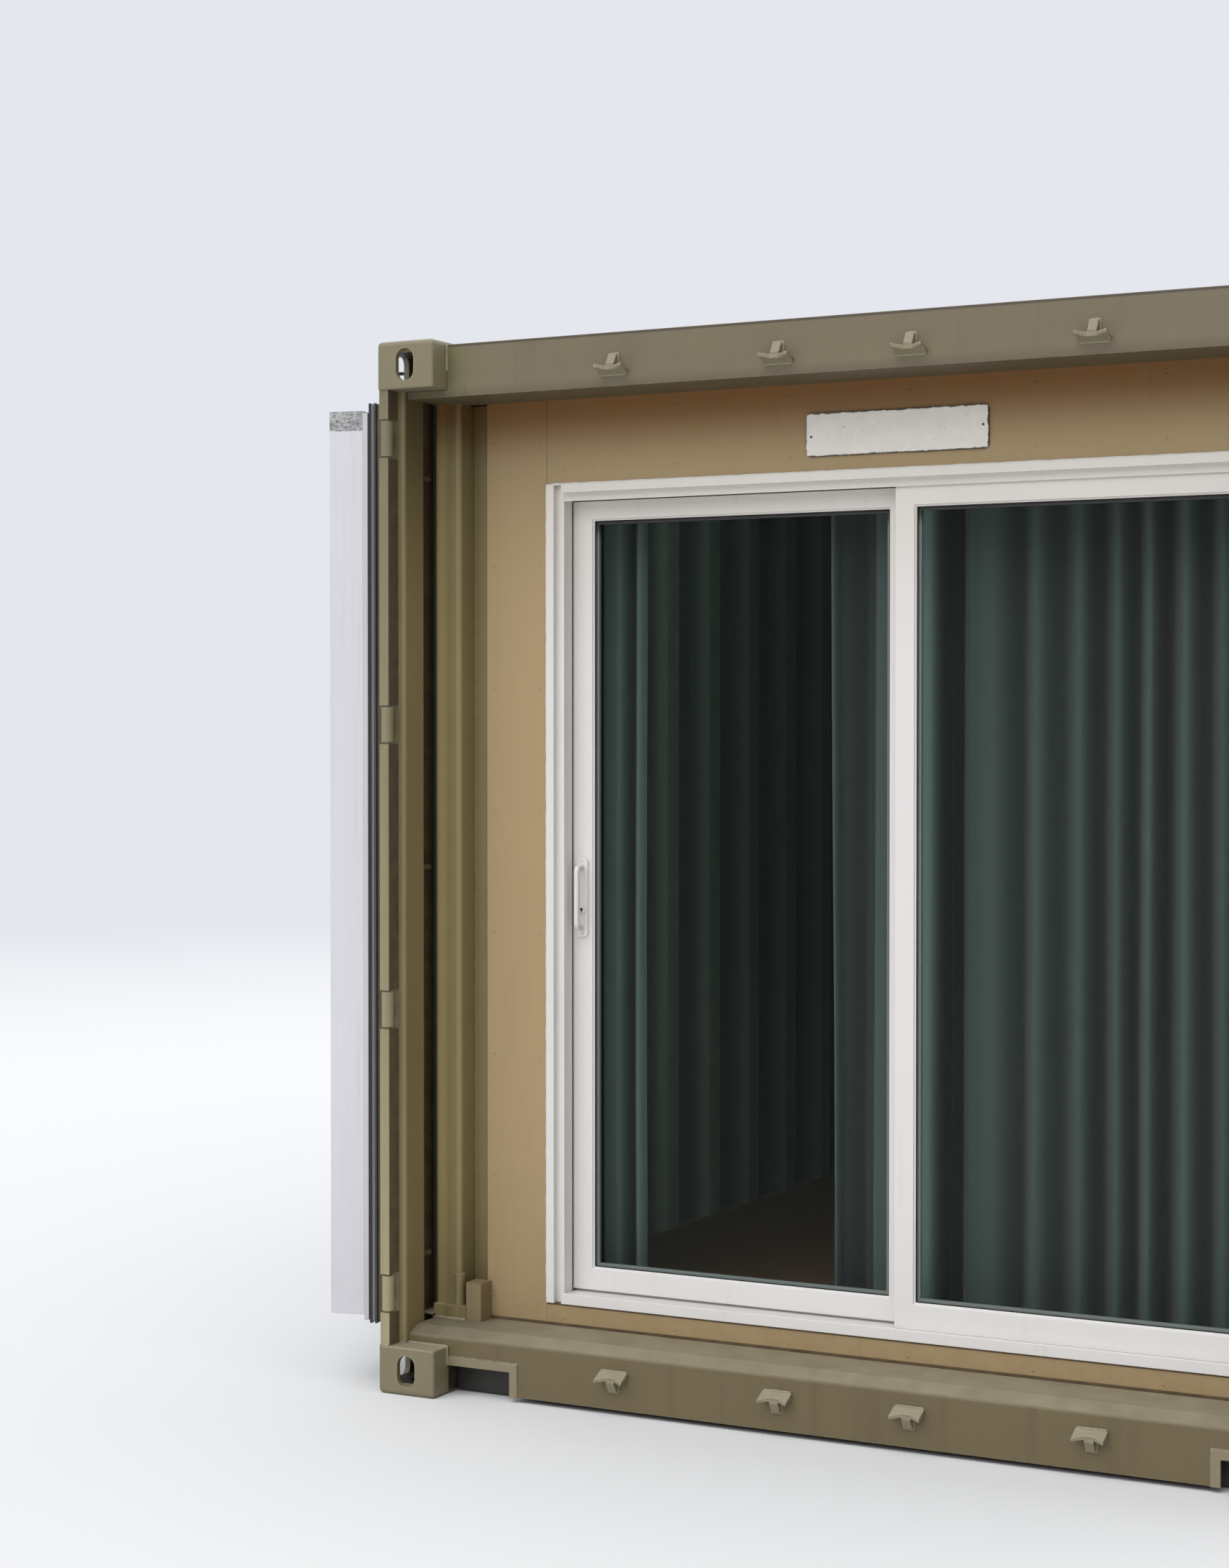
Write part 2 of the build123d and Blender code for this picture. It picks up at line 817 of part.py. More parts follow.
# Cross members under the floor, channels between the fork pockets
floor_start = sill_back
floor_end = length - rear_recess - rear_rail
member_centres = []
depth = floor_start + member_wide
while depth < floor_end - member_wide:
    clear = min(abs(y_at(depth) - side * pocket_centre) for side in (-1, 1))
    if clear > pocket_wide / 2 + pocket_t + member_wide:
        member_centres.append(y_at(depth))
    depth += member_pitch
member_mid = member_base + member_high / 2
with BuildPart() as cross_members:
    with BuildSketch(Plane.YZ.offset(web_x)) as member_section:
        with Locations([(centre, member_mid) for centre in member_centres]):
            Rectangle(member_wide, member_high)
        with Locations([(centre + member_t, member_mid) for centre in member_centres]):
            Rectangle(member_wide, member_high - 2 * member_t, mode=Mode.SUBTRACT)
    extrude(amount=-2 * web_x)
write(cross_members.part, "cross_members")

# Plywood floor
post_edge = post_inset + rear_post_wide
with BuildPart() as floor:
    floor_edge = rail_inset + bottom_rail_flange + runner_gap
    placed_bar(
        (floor_edge, width - floor_edge),
        (floor_start, floor_end),
        (floor_base, floor_base + board_t),
    )
    for insets in both_ends(post_edge):
        placed_bar(
            insets,
            (length - casting_y, length),
            (floor_base, bottom_rail_top),
            mode=Mode.SUBTRACT,
        )
write(floor.part, "floor")

# Top side rails
with BuildPart() as left_top_rail:
    with BuildSketch(Plane.XZ.offset(-rail_start)) as top_rail_section:
        with Locations((x_at(rail_inset + top_rail / 2), top_rail_low + top_rail / 2)):
            inner_rail = top_rail - 2 * top_rail_wall
            Rectangle(top_rail, top_rail)
            Rectangle(inner_rail, inner_rail, mode=Mode.SUBTRACT)
    extrude(amount=-(rail_end - rail_start))
with BuildPart() as top_rails:
    add(left_top_rail.part)
    mirror(left_top_rail.part, about=Plane.YZ)
write(top_rails.part, "top_side_rails")

# Corrugated side walls
with BuildPart() as side_wall:
    with BuildSketch(Plane.XY.offset(bottom_rail_top)) as side_section:
        run = wave(
            wall_face,
            length - casting_y,
            wall_inset,
            wall_inset + side_wave,
            side_flat_out,
            side_flat_in,
            side_slope,
        )
        sheet_line = [(x_at(across), y_at(along)) for along, across in run]
        with BuildLine():
            Polyline(*thick(sheet_line, (skin, 0)), close=True)
        make_face()
    extrude(amount=top_rail_low - bottom_rail_top)
write_pair(side_wall.part, "side_wall")

# Corrugated roof between the top rails
with BuildPart() as roof:
    with BuildSketch(Plane.YZ.offset(x_at(rail_edge))) as roof_section:
        run = wave(
            y_at(wall_face),
            y_at(length - casting_y),
            header_top,
            header_top - roof_wave,
            roof_crest_flat,
            roof_valley_flat,
            roof_slope,
        )
        with BuildLine():
            Polyline(*thick(run, (0, -skin)), close=True)
        make_face()
    extrude(amount=width - 2 * rail_edge)
write(roof.part, "roof")

# Rear end: posts, sill, header and corrugated wall
with BuildPart() as left_rear_post:
    with BuildSketch(Plane.XY.offset(casting_z)) as rear_post_section:
        deep = casting_y - rear_recess
        middle_y = y_at(length - rear_recess - deep / 2)
        with Locations((x_at(post_inset + rear_post_wide / 2), middle_y)):
            Rectangle(rear_post_wide, deep)
            chamfer(rear_post_section.vertices().group_by(Axis.X)[-1], length=rear_post_chamfer)
            Rectangle(
                rear_post_wide - 2 * rear_post_chamfer,
                deep - 2 * rear_post_chamfer,
                mode=Mode.SUBTRACT,
            )
    extrude(amount=casting_soffit - casting_z)
with BuildPart() as rear_posts:
    add(left_rear_post.part)
    mirror(left_rear_post.part, about=Plane.YZ)
write(rear_posts.part, "rear_posts")

rear_face = length - rear_recess
rear_rail_depths = (rear_face - rear_rail, rear_face)
with BuildPart() as rear_sill:
    placed_bar((post_edge, width - post_edge), rear_rail_depths, (rail_lift, rear_sill_top))
    for insets in both_ends(casting_x):
        placed_bar(insets, (length - casting_y, length), (0, casting_z), mode=Mode.SUBTRACT)
write(rear_sill.part, "rear_sill")
rail_top_level = top_rail_low + top_rail
with BuildPart() as rear_header:
    between_castings = (casting_x, width - casting_x)
    placed_bar(between_castings, rear_rail_depths, (casting_soffit, rail_top_level))
    placed_bar(
        between_castings,
        (length - casting_y, rear_face),
        (rail_top_level - plate, rail_top_level),
    )
write(rear_header.part, "rear_header")
with BuildPart() as rear_wall:
    with BuildSketch(Plane.XY.offset(rear_sill_top)) as rear_section:
        run = wave(
            x_at(post_edge),
            x_at(width - post_edge),
            y_at(length - wall_inset),
            y_at(length - wall_inset - rear_wave),
            rear_flat,
            rear_flat,
            rear_slope,
        )
        with BuildLine():
            Polyline(*thick(run, (0, -skin)), close=True)
        make_face()
    extrude(amount=casting_soffit - rear_sill_top)
write(rear_wall.part, "rear_wall")

# Cam keepers on header and sill. The gusset points away from the door opening.
keeper_root = y_at(front_recess)
keeper_front = y_at(front_recess - keeper_deep)
keeper_nose = keeper_front + keeper_notch
keeper_tip = sill_keeper_edge - keeper_ramp
keeper_end = sill_keeper_edge - keeper_high
with BuildPart() as keeper:
    with BuildSketch(Plane.YZ) as keeper_ramp_profile:
        with BuildLine():
            Polyline(
                (keeper_root, sill_keeper_edge),
                (keeper_front, keeper_tip),
                (keeper_front, keeper_tip - keeper_tip_t),
                (keeper_root, sill_keeper_edge - keeper_flange_t),
                close=True,
            )
        make_face()
    extrude(amount=keeper_wide / 2, both=True)
    with BuildSketch(Plane.XY.offset(keeper_end)) as keeper_plan:
        with BuildLine():
            Polyline(
                (-keeper_wide / 2, keeper_root),
                (-keeper_wide / 2, keeper_front),
                (-keeper_web / 2, keeper_nose),
                (keeper_web / 2, keeper_nose),
                (keeper_wide / 2, keeper_front),
                (keeper_wide / 2, keeper_root),
                close=True,
            )
        make_face()
    extrude(amount=keeper_high, mode=Mode.INTERSECT)
    with BuildSketch(Plane.YZ) as keeper_gusset:
        with BuildLine():
            Polyline(
                (keeper_root, sill_keeper_edge - keeper_flange_t / 2),
                (keeper_nose, keeper_tip),
                (keeper_nose, keeper_tip - keeper_tip_t),
                (keeper_root - keeper_web_deep, keeper_end),
                (keeper_root, keeper_end),
                close=True,
            )
        make_face()
    extrude(amount=keeper_web / 2, both=True)
with BuildPart() as cam_keepers:
    with Locations([(side * offset, 0) for offset in keeper_offsets for side in (-1, 1)]):
        add(keeper.part)
    between_keepers = (sill_keeper_edge + header_keeper_edge) / 2
    mirror(cam_keepers.part, about=Plane.XY.offset(between_keepers))
write(cam_keepers.part, "cam_keepers")

# Cargo door leaf, built where it stands when swung open.
# Its plane has its origin on the hinge pin, x along the leaf and y inwards.
pin_line = Axis((x_at(pin_inset), y_at(pin_depth), 0), (0, 0, 1))
leaf_x = Vector(1, 0, 0).rotate(Axis.Z, -open_angle)
leaf_plane = Plane(origin=pin_line.position, x_dir=leaf_x, z_dir=(0, 0, 1))
leaf_start = post_face + leaf_gap - pin_inset
leaf_end = width / 2 - leaf_gap / 2 - pin_inset
leaf_low = sill_top + leaf_lift
leaf_high = header_low - leaf_drop
leaf_back = leaf_face + leaf_t
steel_start = leaf_start + gasket_t
steel_end = leaf_end - gasket_t
infill_start = steel_start + leaf_stile
infill_end = steel_end - leaf_stile


def leaf_bar(spans, mode=Mode.ADD):
    """Rectangular bar on the leaf: spans along it, inwards and upwards."""
    low = tuple(span[0] for span in spans)
    high = tuple(span[1] for span in spans)
    with Locations(leaf_plane):
        bar(low, high, mode)


# Steel leaf: frame, corrugated infill and hinge straps that end in knuckles
with BuildPart() as leaf_steel:
    through = (leaf_face, leaf_back)
    leaf_bar(((steel_start, steel_end), through, (leaf_low, leaf_high)))
    infill_levels = (leaf_low + leaf_rail, leaf_high - leaf_rail)
    leaf_bar(((infill_start, infill_end), through, infill_levels), mode=Mode.SUBTRACT)
    with BuildSketch(leaf_plane.offset(leaf_low + leaf_rail)) as infill_section:
        run = wave(
            infill_start,
            infill_end,
            leaf_face + plate,
            leaf_face + plate + leaf_wave,
            leaf_flat,
            leaf_flat,
            leaf_slope,
        )
        with BuildLine():
            Polyline(*thick(run, (0, skin)), close=True)
        make_face()
    extrude(amount=infill_levels[1] - infill_levels[0])
    for level in hinge_levels:
        strap_face = leaf_face - strap_t
        with BuildSketch(leaf_plane.offset(level - strap_high / 2)):
            with BuildLine():
                Polyline(
                    (knuckle_r / 4, -knuckle_r * 3 / 4),
                    (strap_bend, strap_face),
                    (strap_reach, strap_face),
                    (strap_reach, leaf_face),
                    (strap_bend + strap_t / 2, leaf_face),
                    (0, knuckle_r * 7 / 8),
                    close=True,
                )
            make_face()
        extrude(amount=strap_high)
        with BuildSketch(leaf_plane.offset(level - knuckle_high / 2)):
            Circle(knuckle_r)
        extrude(amount=knuckle_high)
        with BuildSketch(leaf_plane.offset(level - knuckle_high / 2)):
            Circle(pin_r + pin_play)
        extrude(amount=knuckle_high, mode=Mode.SUBTRACT)
write_pair(leaf_steel.part, "cargo_leaf")

# Rubber gasket round the inner edge of the leaf, two lips with a groove between them
band_back = leaf_back - gasket_margin
band_front = band_back - gasket_deep
groove_front = band_front + (gasket_deep - gasket_groove) / 2
groove = (groove_front, groove_front + gasket_groove)
groove_rise = gasket_t - gasket_groove_t
with BuildPart() as gasket:
    for depths, rise in (
        ((band_front, groove[0]), gasket_t),
        (groove, groove_rise),
        ((groove[1], band_back), gasket_t),
    ):
        spread = (steel_start - rise, steel_end + rise)
        leaf_bar((spread, depths, (leaf_low - rise, leaf_high + rise)))
    leaf_bar(
        ((steel_start, steel_end), (band_front, band_back), (leaf_low, leaf_high)),
        mode=Mode.SUBTRACT,
    )
write_pair(gasket.part, "door_gasket")

# Lining sheet and timber frame on the inner face of the leaf
lining_back = leaf_back + lining_t
with BuildPart() as lining:
    leaf_bar(((leaf_start, leaf_end), (leaf_back, lining_back), (leaf_low, leaf_high - lining_drop)))
write_pair(lining.part, "leaf_lining")
timber_low = leaf_low + timber_lift
timber_high = leaf_high - timber_drop
timber_depths = (lining_back, lining_back + timber_deep)
stud_pitch = (leaf_end - leaf_start - timber_t) / timber_bays
with BuildPart() as studs:
    for index in range(timber_bays + 1):
        start = leaf_start + index * stud_pitch
        leaf_bar(((start, start + timber_t), timber_depths, (timber_low, timber_high)))
write_pair(studs.part, "leaf_studs")
with BuildPart() as rails:
    rail_levels = (
        timber_low + timber_kick,
        (timber_low + timber_high) / 2,
        timber_high - timber_t,
    )
    for index in range(timber_bays):
        start = leaf_start + index * stud_pitch
        for level in rail_levels:
            bay = (start + timber_t, start + stud_pitch)
            leaf_bar((bay, timber_depths, (level, level + timber_t)))
write_pair(rails.part, "leaf_rails")

# Lock bars on the outer face, with forked cams, guides and handles
bar_v = leaf_face - bar_stand
bar_low = sill_keeper_edge + cam_clear
bar_high = header_keeper_edge - cam_clear
cam_back = front_recess - keeper_deep - pin_depth - cam_clear
handle_level = leaf_low + bar_handle_rise
guide_levels = [leaf_low + rise for rise in guide_rises]
guide_levels += [leaf_high - rise - guide_high for rise in guide_rises]
with BuildPart() as lock_bars:
    for offset in keeper_offsets:
        bar_u = width / 2 - offset - pin_inset
        with BuildSketch(leaf_plane.offset(bar_low)):
            with Locations((bar_u, bar_v)):
                Circle(bar_r)
        extrude(amount=bar_high - bar_low)
        for edge, away in ((sill_keeper_edge, -1), (header_keeper_edge, 1)):
            tip = edge + away * (keeper_high - cam_clear)
            root = edge - away * (cam_clear + cam_t)
            under = edge + away * (keeper_ramp + keeper_tip_t + prong_gap)
            across = (bar_u - cam_wide / 2, bar_u + cam_wide / 2)
            leaf_bar((across, (cam_back - cam_t, cam_back), (min(tip, root), max(tip, root))))
            for inner in (across[0], across[1] - prong_t):
                leaf_bar(
                    (
                        (inner, inner + prong_t),
                        (cam_back, cam_back + prong_reach),
                        (min(tip, under), max(tip, under)),
                    )
                )
        for level in guide_levels:
            with BuildSketch(leaf_plane.offset(level)):
                with Locations((bar_u, bar_v)):
                    Circle(bar_r + guide_t)
                with Locations((bar_u, (bar_v + leaf_face) / 2)):
                    Rectangle(2 * (bar_r + guide_t), leaf_face - bar_v)
                with Locations((bar_u, leaf_face - guide_t / 2)):
                    Rectangle(guide_wide, guide_t)
            extrude(amount=guide_high)
        with BuildSketch(leaf_plane.offset(handle_level - hub_high / 2)):
            with Locations((bar_u, bar_v)):
                Circle(bar_r + guide_t)
        extrude(amount=hub_high)
        front = bar_v - bar_handle_t / 2
        handle_low = handle_level - bar_handle_high / 2
        handle_origin = leaf_plane.from_local_coords((bar_u, front, handle_level))
        with BuildSketch(Plane(handle_origin, x_dir=leaf_x, z_dir=leaf_plane.y_dir)):
            with Locations((-bar_handle_length / 2, 0)):
                SlotOverall(bar_handle_length + bar_handle_high, bar_handle_high)
        extrude(amount=bar_handle_t)
        hold = (bar_u - bar_handle_length, bar_u - bar_handle_length + catch_wide)
        leaf_bar((hold, (bar_v, leaf_face), (handle_low, handle_low + bar_handle_high)))
        above = handle_low + bar_handle_high
        leaf_bar((hold, (front - catch_t, leaf_face), (above, above + catch_t)))
        leaf_bar((hold, (front - catch_t, front), (handle_level, above + catch_t)))
write_pair(lock_bars.part, "lock_bars")
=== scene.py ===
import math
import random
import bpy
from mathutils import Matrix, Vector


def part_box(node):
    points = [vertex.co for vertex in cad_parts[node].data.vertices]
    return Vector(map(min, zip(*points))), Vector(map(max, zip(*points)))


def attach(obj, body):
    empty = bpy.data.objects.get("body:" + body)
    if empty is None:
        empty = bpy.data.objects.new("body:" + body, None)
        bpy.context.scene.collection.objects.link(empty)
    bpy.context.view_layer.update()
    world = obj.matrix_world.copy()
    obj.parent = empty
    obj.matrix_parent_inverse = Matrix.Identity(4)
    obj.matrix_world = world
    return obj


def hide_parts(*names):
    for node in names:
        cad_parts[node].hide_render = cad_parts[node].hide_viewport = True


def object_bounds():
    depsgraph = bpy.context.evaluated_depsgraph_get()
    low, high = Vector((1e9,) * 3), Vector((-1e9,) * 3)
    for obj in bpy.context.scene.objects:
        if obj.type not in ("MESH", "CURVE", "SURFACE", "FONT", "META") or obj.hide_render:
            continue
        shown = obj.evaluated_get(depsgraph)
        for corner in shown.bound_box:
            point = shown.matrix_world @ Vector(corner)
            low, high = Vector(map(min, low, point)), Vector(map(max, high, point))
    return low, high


bl_info = {
    "name": "Container Cabin",
    "version": (1, 0, 0),
    "blender": (4, 5, 0),
    "location": "3D View > Sidebar > Cabin",
    "description": "Finishes a container cabin: paint, boards, patio door and curtains",
    "category": "Object",
}

import bpy
from bpy.props import FloatProperty, FloatVectorProperty, PointerProperty
from mathutils import Vector, noise

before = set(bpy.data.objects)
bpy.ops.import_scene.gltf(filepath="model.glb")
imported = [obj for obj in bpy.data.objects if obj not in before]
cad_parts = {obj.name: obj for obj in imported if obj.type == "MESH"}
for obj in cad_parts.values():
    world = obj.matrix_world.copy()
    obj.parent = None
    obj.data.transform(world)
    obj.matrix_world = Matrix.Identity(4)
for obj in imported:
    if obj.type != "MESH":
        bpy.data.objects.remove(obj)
cad_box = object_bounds()

# The left outer face, the front of the castings, and planes that many pieces share
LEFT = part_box("front_corner_castings_left")[0].x
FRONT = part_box("front_corner_castings_left")[0].y
WALL_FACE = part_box("wall_left")[0].y
TOP = cad_box[1].z
HEADER_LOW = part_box("door_header")[0].z
SIDES = ("left", "right")

UP = (0.0, 0.0, 1.0)
ACROSS = (1.0, 0.0, 0.0)
REARWARD = (0.0, 1.0, 0.0)
FORWARD = (0.0, -1.0, 0.0)

# Places and sizes of the CAD's details, in metres: insets from a side face, depths behind the
# castings, levels and widths
LIP_INSET = 0.030
KNUCKLE_INSET = 0.0025
RECESS_DEPTH = 0.146
SILL_BACK = 0.071
SILL_FRONT = 0.066
CUTOUT_INSET = 0.361
CUTOUT_LEVEL = 0.094
CASTING_WALL = 0.0152
CUTOUT_TOP = 0.072
LIP_WIDTH = 0.025
POST_SETBACK = 0.047
TUBE_FOOT = 0.097
# Insets of the gasket's painted shade in its groove and painted highlight on its rib
GASKET_GROOVE = (-0.0560, -0.0458)
GASKET_RIB = (-0.0445, -0.0368)
KEEPERS = (-0.593, -0.164, 0.164, 0.593)
WELD_PITCH = 0.0035
RING_RADIUS = 0.0165
RING_WIRE = 0.0016

# Folds of the curtains that show: inset from the left face in metres, and how far the cloth
# stands towards the glass (1) or the room (-1)
LEFT_FOLDS = (
    (0.320, -0.6), (0.345, 0.3), (0.374, -0.85), (0.402, 0.4), (0.440, 0.45), (0.470, -0.6),
    (0.499, 0.5), (0.516, 0.0),
)
RIGHT_FOLDS = (
    (1.016, 0.1), (1.024, 0.2), (1.040, -0.45), (1.100, -0.7), (1.128, -0.4), (1.146, 0.15),
    (1.174, 0.12), (1.205, -0.6), (1.245, -0.8), (1.264, 0.8), (1.276, 1.0), (1.290, 0.95),
    (1.304, -0.8), (1.318, -0.95), (1.326, -0.75), (1.345, -1.0), (1.378, 0.05), (1.430, 0.1),
    (1.500, -0.6), (1.540, 0.1),
)


def srgb(red, green, blue):
    """Linear colour of an 8-bit one."""
    def channel(value):
        share = value / 255
        return share / 12.92 if share <= 0.04045 else ((share + 0.055) / 1.055) ** 2.4
    return channel(red), channel(green), channel(blue)


def colour(name, description, red, green, blue):
    """Colour setting with an 8-bit default."""
    settings = {"subtype": "COLOR", "size": 3, "min": 0.0, "max": 1.0}
    default = srgb(red, green, blue)
    return FloatVectorProperty(name=name, description=description, default=default, **settings)


def distance(name, description, default):
    """Length setting in metres."""
    settings = {"subtype": "DISTANCE", "unit": "LENGTH", "min": 0.0}
    return FloatProperty(name=name, description=description, default=default, **settings)


def angle(name, description, degrees):
    """Angle setting."""
    settings = {"subtype": "ANGLE", "unit": "ROTATION"}
    default = math.radians(degrees)
    return FloatProperty(name=name, description=description, default=default, **settings)


def amount(name, description, default):
    """Setting that is a plain number."""
    return FloatProperty(name=name, description=description, default=default, min=0.0)


class CabinColours(bpy.types.PropertyGroup):
    """Colours of the cabin's paints, cloth and glass."""

    steel: colour("Steel", "Paint of the posts, rails and walls", 135, 126, 96)
    # Shaded copy of the steel paint: painted shade for faces that stand back at the door end
    shaded_steel: colour("Shaded steel", "Paint in the shelter of the door end", 130, 116, 77)
    header: colour("Header", "Paint of the door header", 108, 98, 75)
    sill: colour("Sill", "Paint of the door sill", 102, 89, 60)
    casting: colour("Castings", "Paint of the corner castings", 121, 112, 86)
    fitting: colour("Fittings", "Paint of keepers, pins and lock bars", 130, 121, 97)
    dust: colour("Dust", "Dust that settles on ledges", 160, 152, 130)
    moss: colour("Moss", "Green stain on the header", 96, 102, 52)
    rust: colour("Rust", "Rust at welds and chips", 92, 56, 34)
    # Dark colour for painted shade in slots, recesses, hollows and gaps, partly dirt as well
    grime: colour("Grime", "Dirt in the slots that rain never reaches", 44, 32, 22)
    underside: colour("Underside", "Coating under the floor", 40, 38, 34)
    inside: colour("Inside", "Paint of the steel inside the room", 168, 198, 178)
    board: colour("Boards", "Paint of the boarded wall", 165, 143, 106)
    block: colour("Block", "Paint of the stop blocks", 136, 119, 88)
    vinyl: colour("Vinyl", "Patio door frame", 218, 215, 212)
    timber: colour("Timber", "Paint of the leaf's timber", 206, 205, 210)
    lining: colour("Lining", "Paint of the leaf's lining board", 194, 192, 194)
    bare_wood: colour("Bare wood", "Weathered end of the timber", 150, 150, 150)
    rubber: colour("Rubber", "Seals of the patio door", 20, 22, 23)
    gasket: colour("Gasket", "Weathered rubber of the cargo doors", 65, 66, 67)
    cloth: colour("Curtains", "Curtain cloth", 121, 148, 138)
    glass: colour("Glass", "Tint of the glass", 17, 22, 20)
    rod: colour("Rod", "Curtain rod and rings", 52, 50, 48)
    spacer: colour("Spacer", "Metal between the panes", 126, 136, 132)
    floor_board: colour("Floor", "Plywood floor in the room", 118, 96, 70)
    sign: colour("Sign", "Face of the sign plate", 224, 219, 210)
    sign_edge: colour("Sign edge", "Worn edge of the sign plate", 74, 68, 58)


class CabinSizes(bpy.types.PropertyGroup):
    """Sizes of the pieces that dress the cabin."""

    steel_edge: distance("Steel edge", "Rounding of bent steel edges", 0.0025)
    board_edge: distance("Board edge", "Rounding of board edges", 0.0012)
    vinyl_edge: distance("Vinyl edge", "Rounding of the patio door's edges", 0.0015)
    weld: distance("Weld", "Radius of a weld bead", 0.0045)
    caulk: distance("Caulk", "Radius of the caulk line round the door", 0.003)
    nail: distance("Nail", "Radius of a nail head", 0.0042)
    nail_pitch: distance("Nail pitch", "Distance between nails", 0.305)
    sign_width: distance("Sign width", "Width of the sign plate", 0.457)
    sign_height: distance("Sign height", "Height of the sign plate", 0.102)
    sign_inset: distance("Sign inset", "Left end of the sign from the left face", 1.047)
    sign_low: distance("Sign level", "Lower edge of the sign", 2.281)
    cloth_left: distance("Left curtain", "Flat width of the left curtain", 0.31)
    cloth_right: distance("Right curtain", "Flat width of the right curtain", 1.59)
    pleat: distance("Pleat", "Mean width of the right curtain's hidden pleats", 0.045)


class CabinStage(bpy.types.PropertyGroup):
    """Camera, light and floor."""

    camera: FloatVectorProperty(
        name="Camera",
        description="Place of the camera",
        subtype="TRANSLATION",
        unit="LENGTH",
        size=3,
        default=(2.547, -8.864, 1.626),
    )
    turn: angle("Turn", "Turn of the camera to the left of the long axis", 28.0)
    tilt: angle("Tilt", "Fall of the camera's line of sight", 1.0)
    lens: amount("Lens", "Focal length in millimetres", 64.49)
    sky_light: amount("Sky light", "Light from all round", 0.5)
    key_light: amount("Key light", "Light from the front left", 1.5)
    top_light: amount("Top light", "Light from above", 1.1)
    back_light: amount("Back light", "Light from behind", 0.5)
    backdrop: colour("Backdrop", "Plain background", 228, 231, 237)
    ground: colour("Ground", "Plain floor", 222, 222, 222)


# Shader graphs


class Graph:
    """A node tree that is filled in by short calls."""

    def __init__(self, tree):
        self.tree = tree

    def feed(self, socket, value):
        """Give a socket a number, a colour or another node's output."""
        if isinstance(value, bpy.types.NodeSocket):
            self.tree.links.new(value, socket)
        elif socket.type == "RGBA" and len(value) == 3:
            socket.default_value = (*value, 1.0)
        else:
            socket.default_value = value

    def add(self, kind, inputs=None, **settings):
        """One node with its settings and inputs."""
        node = self.tree.nodes.new(kind)
        for key, value in settings.items():
            setattr(node, key, value)
        for key, value in (inputs or {}).items():
            self.feed(node.inputs[key], value)
        return node

    def math(self, operation, *values):
        """Result of one sum on numbers."""
        node = self.add("ShaderNodeMath", dict(enumerate(values)), operation=operation)
        return node.outputs[0]

    def times(self, first, *others):
        """Product of numbers."""
        for other in others:
            first = self.math("MULTIPLY", first, other)
        return first

    def coordinates(self, output="Object"):
        """Coordinates that stay with the piece."""
        return self.add("ShaderNodeTexCoord").outputs[output]

    def vector(self, operation, *values):
        """Node of one sum on vectors."""
        return self.add("ShaderNodeVectorMath", dict(enumerate(values)), operation=operation)

    def along(self, vector, direction):
        """Length of a vector along a direction."""
        return self.vector("DOT_PRODUCT", vector, direction).outputs["Value"]

    def noise(self, scale, detail=3.0, roughness=0.55):
        """Soft random value from 0 to 1, with one scale or one for each axis."""
        spot = self.coordinates()
        if isinstance(scale, tuple):
            spot, scale = self.scaled(spot, scale), 1.0
        inputs = {"Vector": spot, "Scale": scale, "Detail": detail, "Roughness": roughness}
        return self.add("ShaderNodeTexNoise", inputs).outputs["Fac"]

    def step(self, value, low, high):
        """Smooth step from 0 at low to 1 at high."""
        inputs = {"Value": value, "From Min": low, "From Max": high}
        node = self.add("ShaderNodeMapRange", inputs, interpolation_type="SMOOTHSTEP")
        return node.outputs["Result"]

    def past(self, value, place, soft=0.001):
        """Soft step from 0 before a place to 1 past it, or from 1 to 0 where soft is negative."""
        return self.step(value, place - soft, place + soft)

    def within(self, value, low, high, soft=0.001):
        """1 between low and high, 0 outside, with soft ends."""
        return self.times(self.past(value, low, soft), self.past(value, high, -soft))

    def facing(self, direction, low, high):
        """Mask of the faces that look in a direction."""
        return self.step(self.along(self.coordinates("Normal"), direction), low, high)

    def span(self, value, low, high):
        """A value from 0 to 1 spread between low and high."""
        inputs = {"Value": value, "To Min": low, "To Max": high}
        return self.add("ShaderNodeMapRange", inputs).outputs["Result"]

    def mix(self, factor, first, second):
        """First colour at 0, second colour at 1."""
        node = self.add("ShaderNodeMix", {0: factor}, data_type="RGBA")
        self.feed(node.inputs[6], first)
        self.feed(node.inputs[7], second)
        return node.outputs[2]

    def shade(self, paint, factor):
        """A colour made lighter or darker."""
        node = self.vector("SCALE", paint)
        self.feed(node.inputs["Scale"], factor)
        return node.outputs[0]

    def scaled(self, paint, shares):
        """A colour, or a place, multiplied part by part."""
        return self.vector("MULTIPLY", paint, shares).outputs[0]

    def inset(self):
        """Inset from the nearer side face."""
        across = self.math("ABSOLUTE", self.along(self.coordinates(), ACROSS))
        return self.math("SUBTRACT", -LEFT, across)

    def depth(self):
        """Depth behind the front of the castings."""
        return self.math("SUBTRACT", self.along(self.coordinates(), REARWARD), FRONT)

    def level(self):
        """Height over the ground."""
        return self.along(self.coordinates(), UP)

    def edges(self, radius):
        """Mask of the sharp outer edges."""
        rounded = self.add("ShaderNodeBevel", {"Radius": radius}, samples=2).outputs[0]
        flat = self.add("ShaderNodeNewGeometry").outputs["Normal"]
        return self.step(self.along(rounded, flat), 0.98, 0.78)

    def use(self, name, **values):
        """Outputs of a shared group with its own values."""
        node = self.add("ShaderNodeGroup", node_tree=bpy.data.node_groups[name])
        for key, value in values.items():
            self.feed(node.inputs[key.capitalize()], value)
        return node.outputs

    def soil(self, tone, dirt, mask):
        """Dark colour laid over a colour by a mask: painted shade, partly dirt."""
        return self.use("Grime", base=tone, grime=dirt, mask=mask)["Color"]

